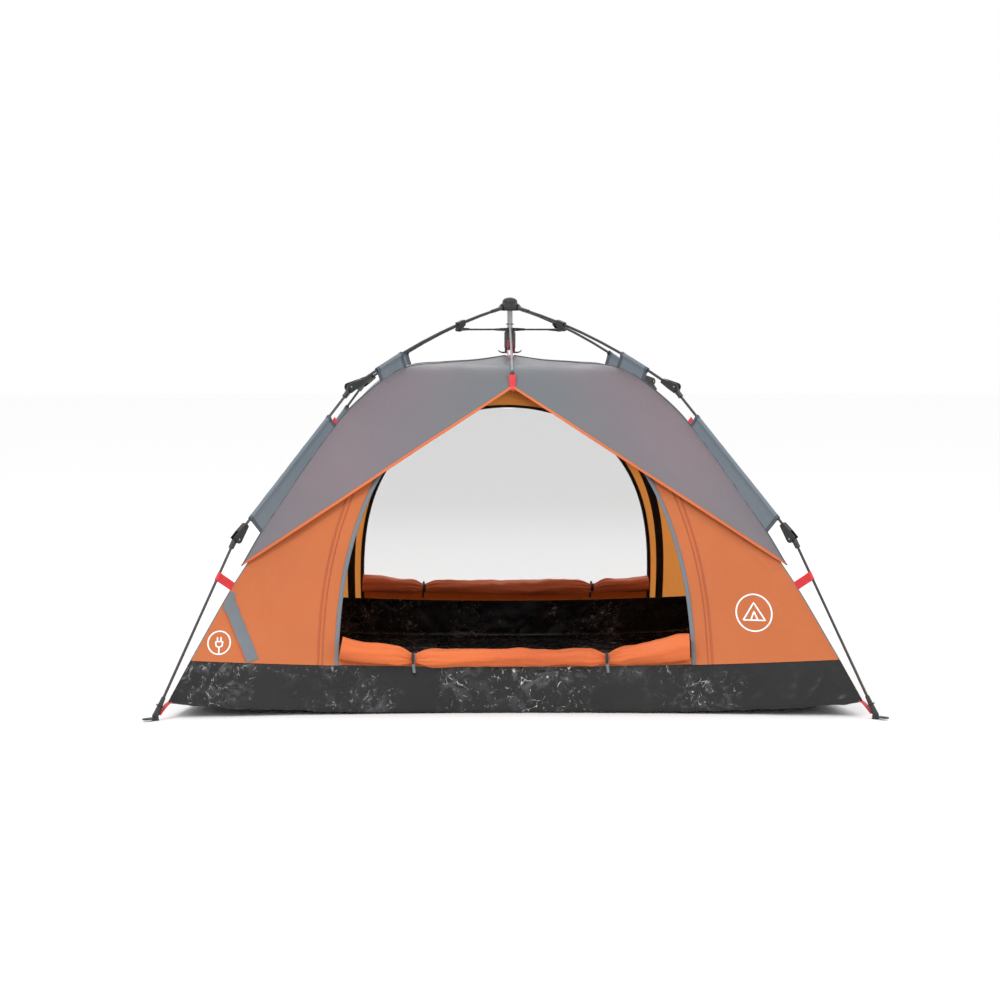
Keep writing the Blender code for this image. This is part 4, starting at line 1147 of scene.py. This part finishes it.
def down_pole(angle_deg):
    """The direction of a pole that slopes down by an angle."""
    return math.cos(math.radians(angle_deg)), 0.0, -math.sin(math.radians(angle_deg))


def make_straps():
    """The red straps from the tub's corners to the feet, their rings, and the red tabs over the sleeves."""
    strap = [(1.360, 0.0, 0.0455), (1.372, 0.0, 0.0400), (1.384, 0.0, 0.0300), (1.394, 0.0, 0.0205),
             (1.4005, 0.0, 0.0135)]
    foot = offset(POLE_END, LOWER_DEG, -0.010, 0.0)
    loop = []
    for a in np.linspace(0, 2 * math.pi, 25):
        out, height = offset(foot, LOWER_DEG, 0.0, 0.0106 * math.cos(a))
        loop.append((out, 0.0106 * math.sin(a), height))
    top = offset(UPPER_AXIS, MIDDLE_DEG, LOWER_SLEEVE[0] - 0.008, 0.0)
    inward = -np.array(offset((0, 0), MIDDLE_DEG, 0.0, 1.0))
    deep = down_to(FLY_RIDGE, top, inward)
    tab = [(top[0] + inward[0] * deep * t, 0.0, top[1] + inward[1] * deep * t)
           for t in (0.45, 0.65, 0.85, 1.0)]
    for leg, azimuth in LEGS.items():
        piece = ribbon(f"foot_strap_{leg}", strap, ACROSS_LEG, tape(0.019, 0.0016), "webbing_red",
                       f"lower_{leg}", azimuth)
        gather_on_pole(piece, (LOWER_AXIS, POLE_END))
        ribbon(f"foot_ring_{leg}", loop, down_pole(LOWER_DEG), circle(0.0012, 8), "webbing_black",
               f"lower_{leg}", azimuth)
        piece = ribbon(f"sleeve_tab_{leg}", tab, down_pole(MIDDLE_DEG), tape(0.012, 0.0016), "webbing_red",
                       f"middle_{leg}", azimuth)
        gather_on_pole(piece, (UPPER_AXIS, LOWER_AXIS))


def make_rivets():
    """The bright ends of the elbows' pins."""
    for name, body, (out, height) in (("upper", "middle", UPPER_PIN), ("lower", "lower", LOWER_PIN)):
        for leg, azimuth in LEGS.items():
            for side, end in ((-1, "inner"), (1, "outer")):
                path = [(out, side * (PIN_HEAD_END + rise), height)
                        for rise in (-0.0006, 0.0002, 0.0006, 0.0008)]
                ribbon(f"{name}_rivet_{leg}_{end}", path, SIDEWAYS, circle(0.0032, 16), "post_metal",
                       f"{body}_{leg}", azimuth, sizes=(1.0, 1.0, 0.85, 0.5))


# ---- peak cord and pull loop
PEAK_TOP = (0.0, -0.400, 0.948)
CORD_START = (0.0, -0.0125, 1.0998)
CORD_END = (0.0, -0.3840, 0.9575)
CORD_RADIUS = 0.0031
CORD_SAG = 0.004


def front_ribbon(name, path, sides, outline, look, body="root", sizes=None):
    """A ribbon in the middle of the front side."""
    piece = ribbon(name, path, sides, outline, look, body, sizes=sizes)
    fold_in(piece)
    return piece


def make_peak_cord():
    """The elastic cord from the post to the fly's front peak, its hook and tab, and the loop round the post."""
    peak = fly_point(fly_edge(np.array([0.0]), True), np.array([0.0]))[0]
    top = np.array(PEAK_TOP)
    tab = [peak + (0, -0.0045, -0.010), peak + (0, 0.002, 0.004),
           peak * 0.4 + top * 0.6 + (0, -0.002, 0.001), top]
    front_ribbon("peak_tab", tab, SIDEWAYS, tape(0.0195, 0.0022), "webbing_red")
    hook = [top + step for step in ((0.0, -0.0010, -0.0030), (0.0, 0.0030, 0.0005), (0.0, 0.0075, 0.0035),
                                    (0.0, 0.0140, 0.0080))]
    front_ribbon("peak_hook", hook, SIDEWAYS, tape(0.0185, 0.0056), "plastic_black",
                 sizes=(1.0, 1.0, 0.75, 0.40))
    start, end = np.array(CORD_START), np.array(CORD_END)
    t = np.linspace(0.0, 1.0, 25)[:, None]
    path = start + (end - start) * t - np.array((0.0, 0.0, CORD_SAG)) * 4 * t * (1 - t)
    cord = front_ribbon("elastic_cord", path, SIDEWAYS, circle(CORD_RADIUS, 10), "cord_grey")
    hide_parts("peak_cord")
    post_loop = [(0.0108 * math.sin(a), -0.0108 * math.cos(a), CORD_START[2]) for a in AROUND]
    ribbon("post_loop", post_loop, (0.0, 0.0, 1.0), circle(0.0018, 8), "webbing_black", "root")


def make_pull_loop():
    """The red pull loop of the runner, which lies forward over the fly."""
    half = [(0.0060, -0.0196, 1.050), (0.0064, -0.0198, 1.034), (0.0068, -0.0225, 1.016),
            (0.0070, -0.0350, 1.0045), (0.0066, -0.0620, 1.0005), (0.0056, -0.0950, 0.9970),
            (0.0034, -0.1180, 0.9945), (0.0, -0.1250, 0.9938)]
    line = half + [(-x, y, z) for x, y, z in half[-2::-1]]
    steps = np.linspace(0, len(line) - 1, 57)
    path = np.stack([np.interp(steps, range(len(line)), [p[k] for p in line]) for k in range(3)], axis=-1)
    for _ in range(3):
        path[1:-1] = (path[:-2] + 2 * path[1:-1] + path[2:]) / 4
    front_ribbon("pull_loop", path, (0.0, 0.5, 0.86), circle(0.0017, 8), "webbing_red", "runner")


make_camera()
make_lamps()
make_stage()
make_looks()
dress_frame()
make_fly()
ridge_seam("fly_seam", FLY_RIDGE, 0.02, FLY_RIDGE[-1][0] - 0.002, 0.0019, "hem_fabric")
make_walls()
ridge_seam("inner_seam", WALL_RIDGE, 0.40, WALL_RIDGE[-1][0] - 0.004, 0.0024, "grey_tape")
make_screen()
door_trim()
make_corner_signs()
make_tub()
make_rolls()
make_sleeves()
make_straps()
make_rivets()
make_peak_cord()
make_pull_loop()
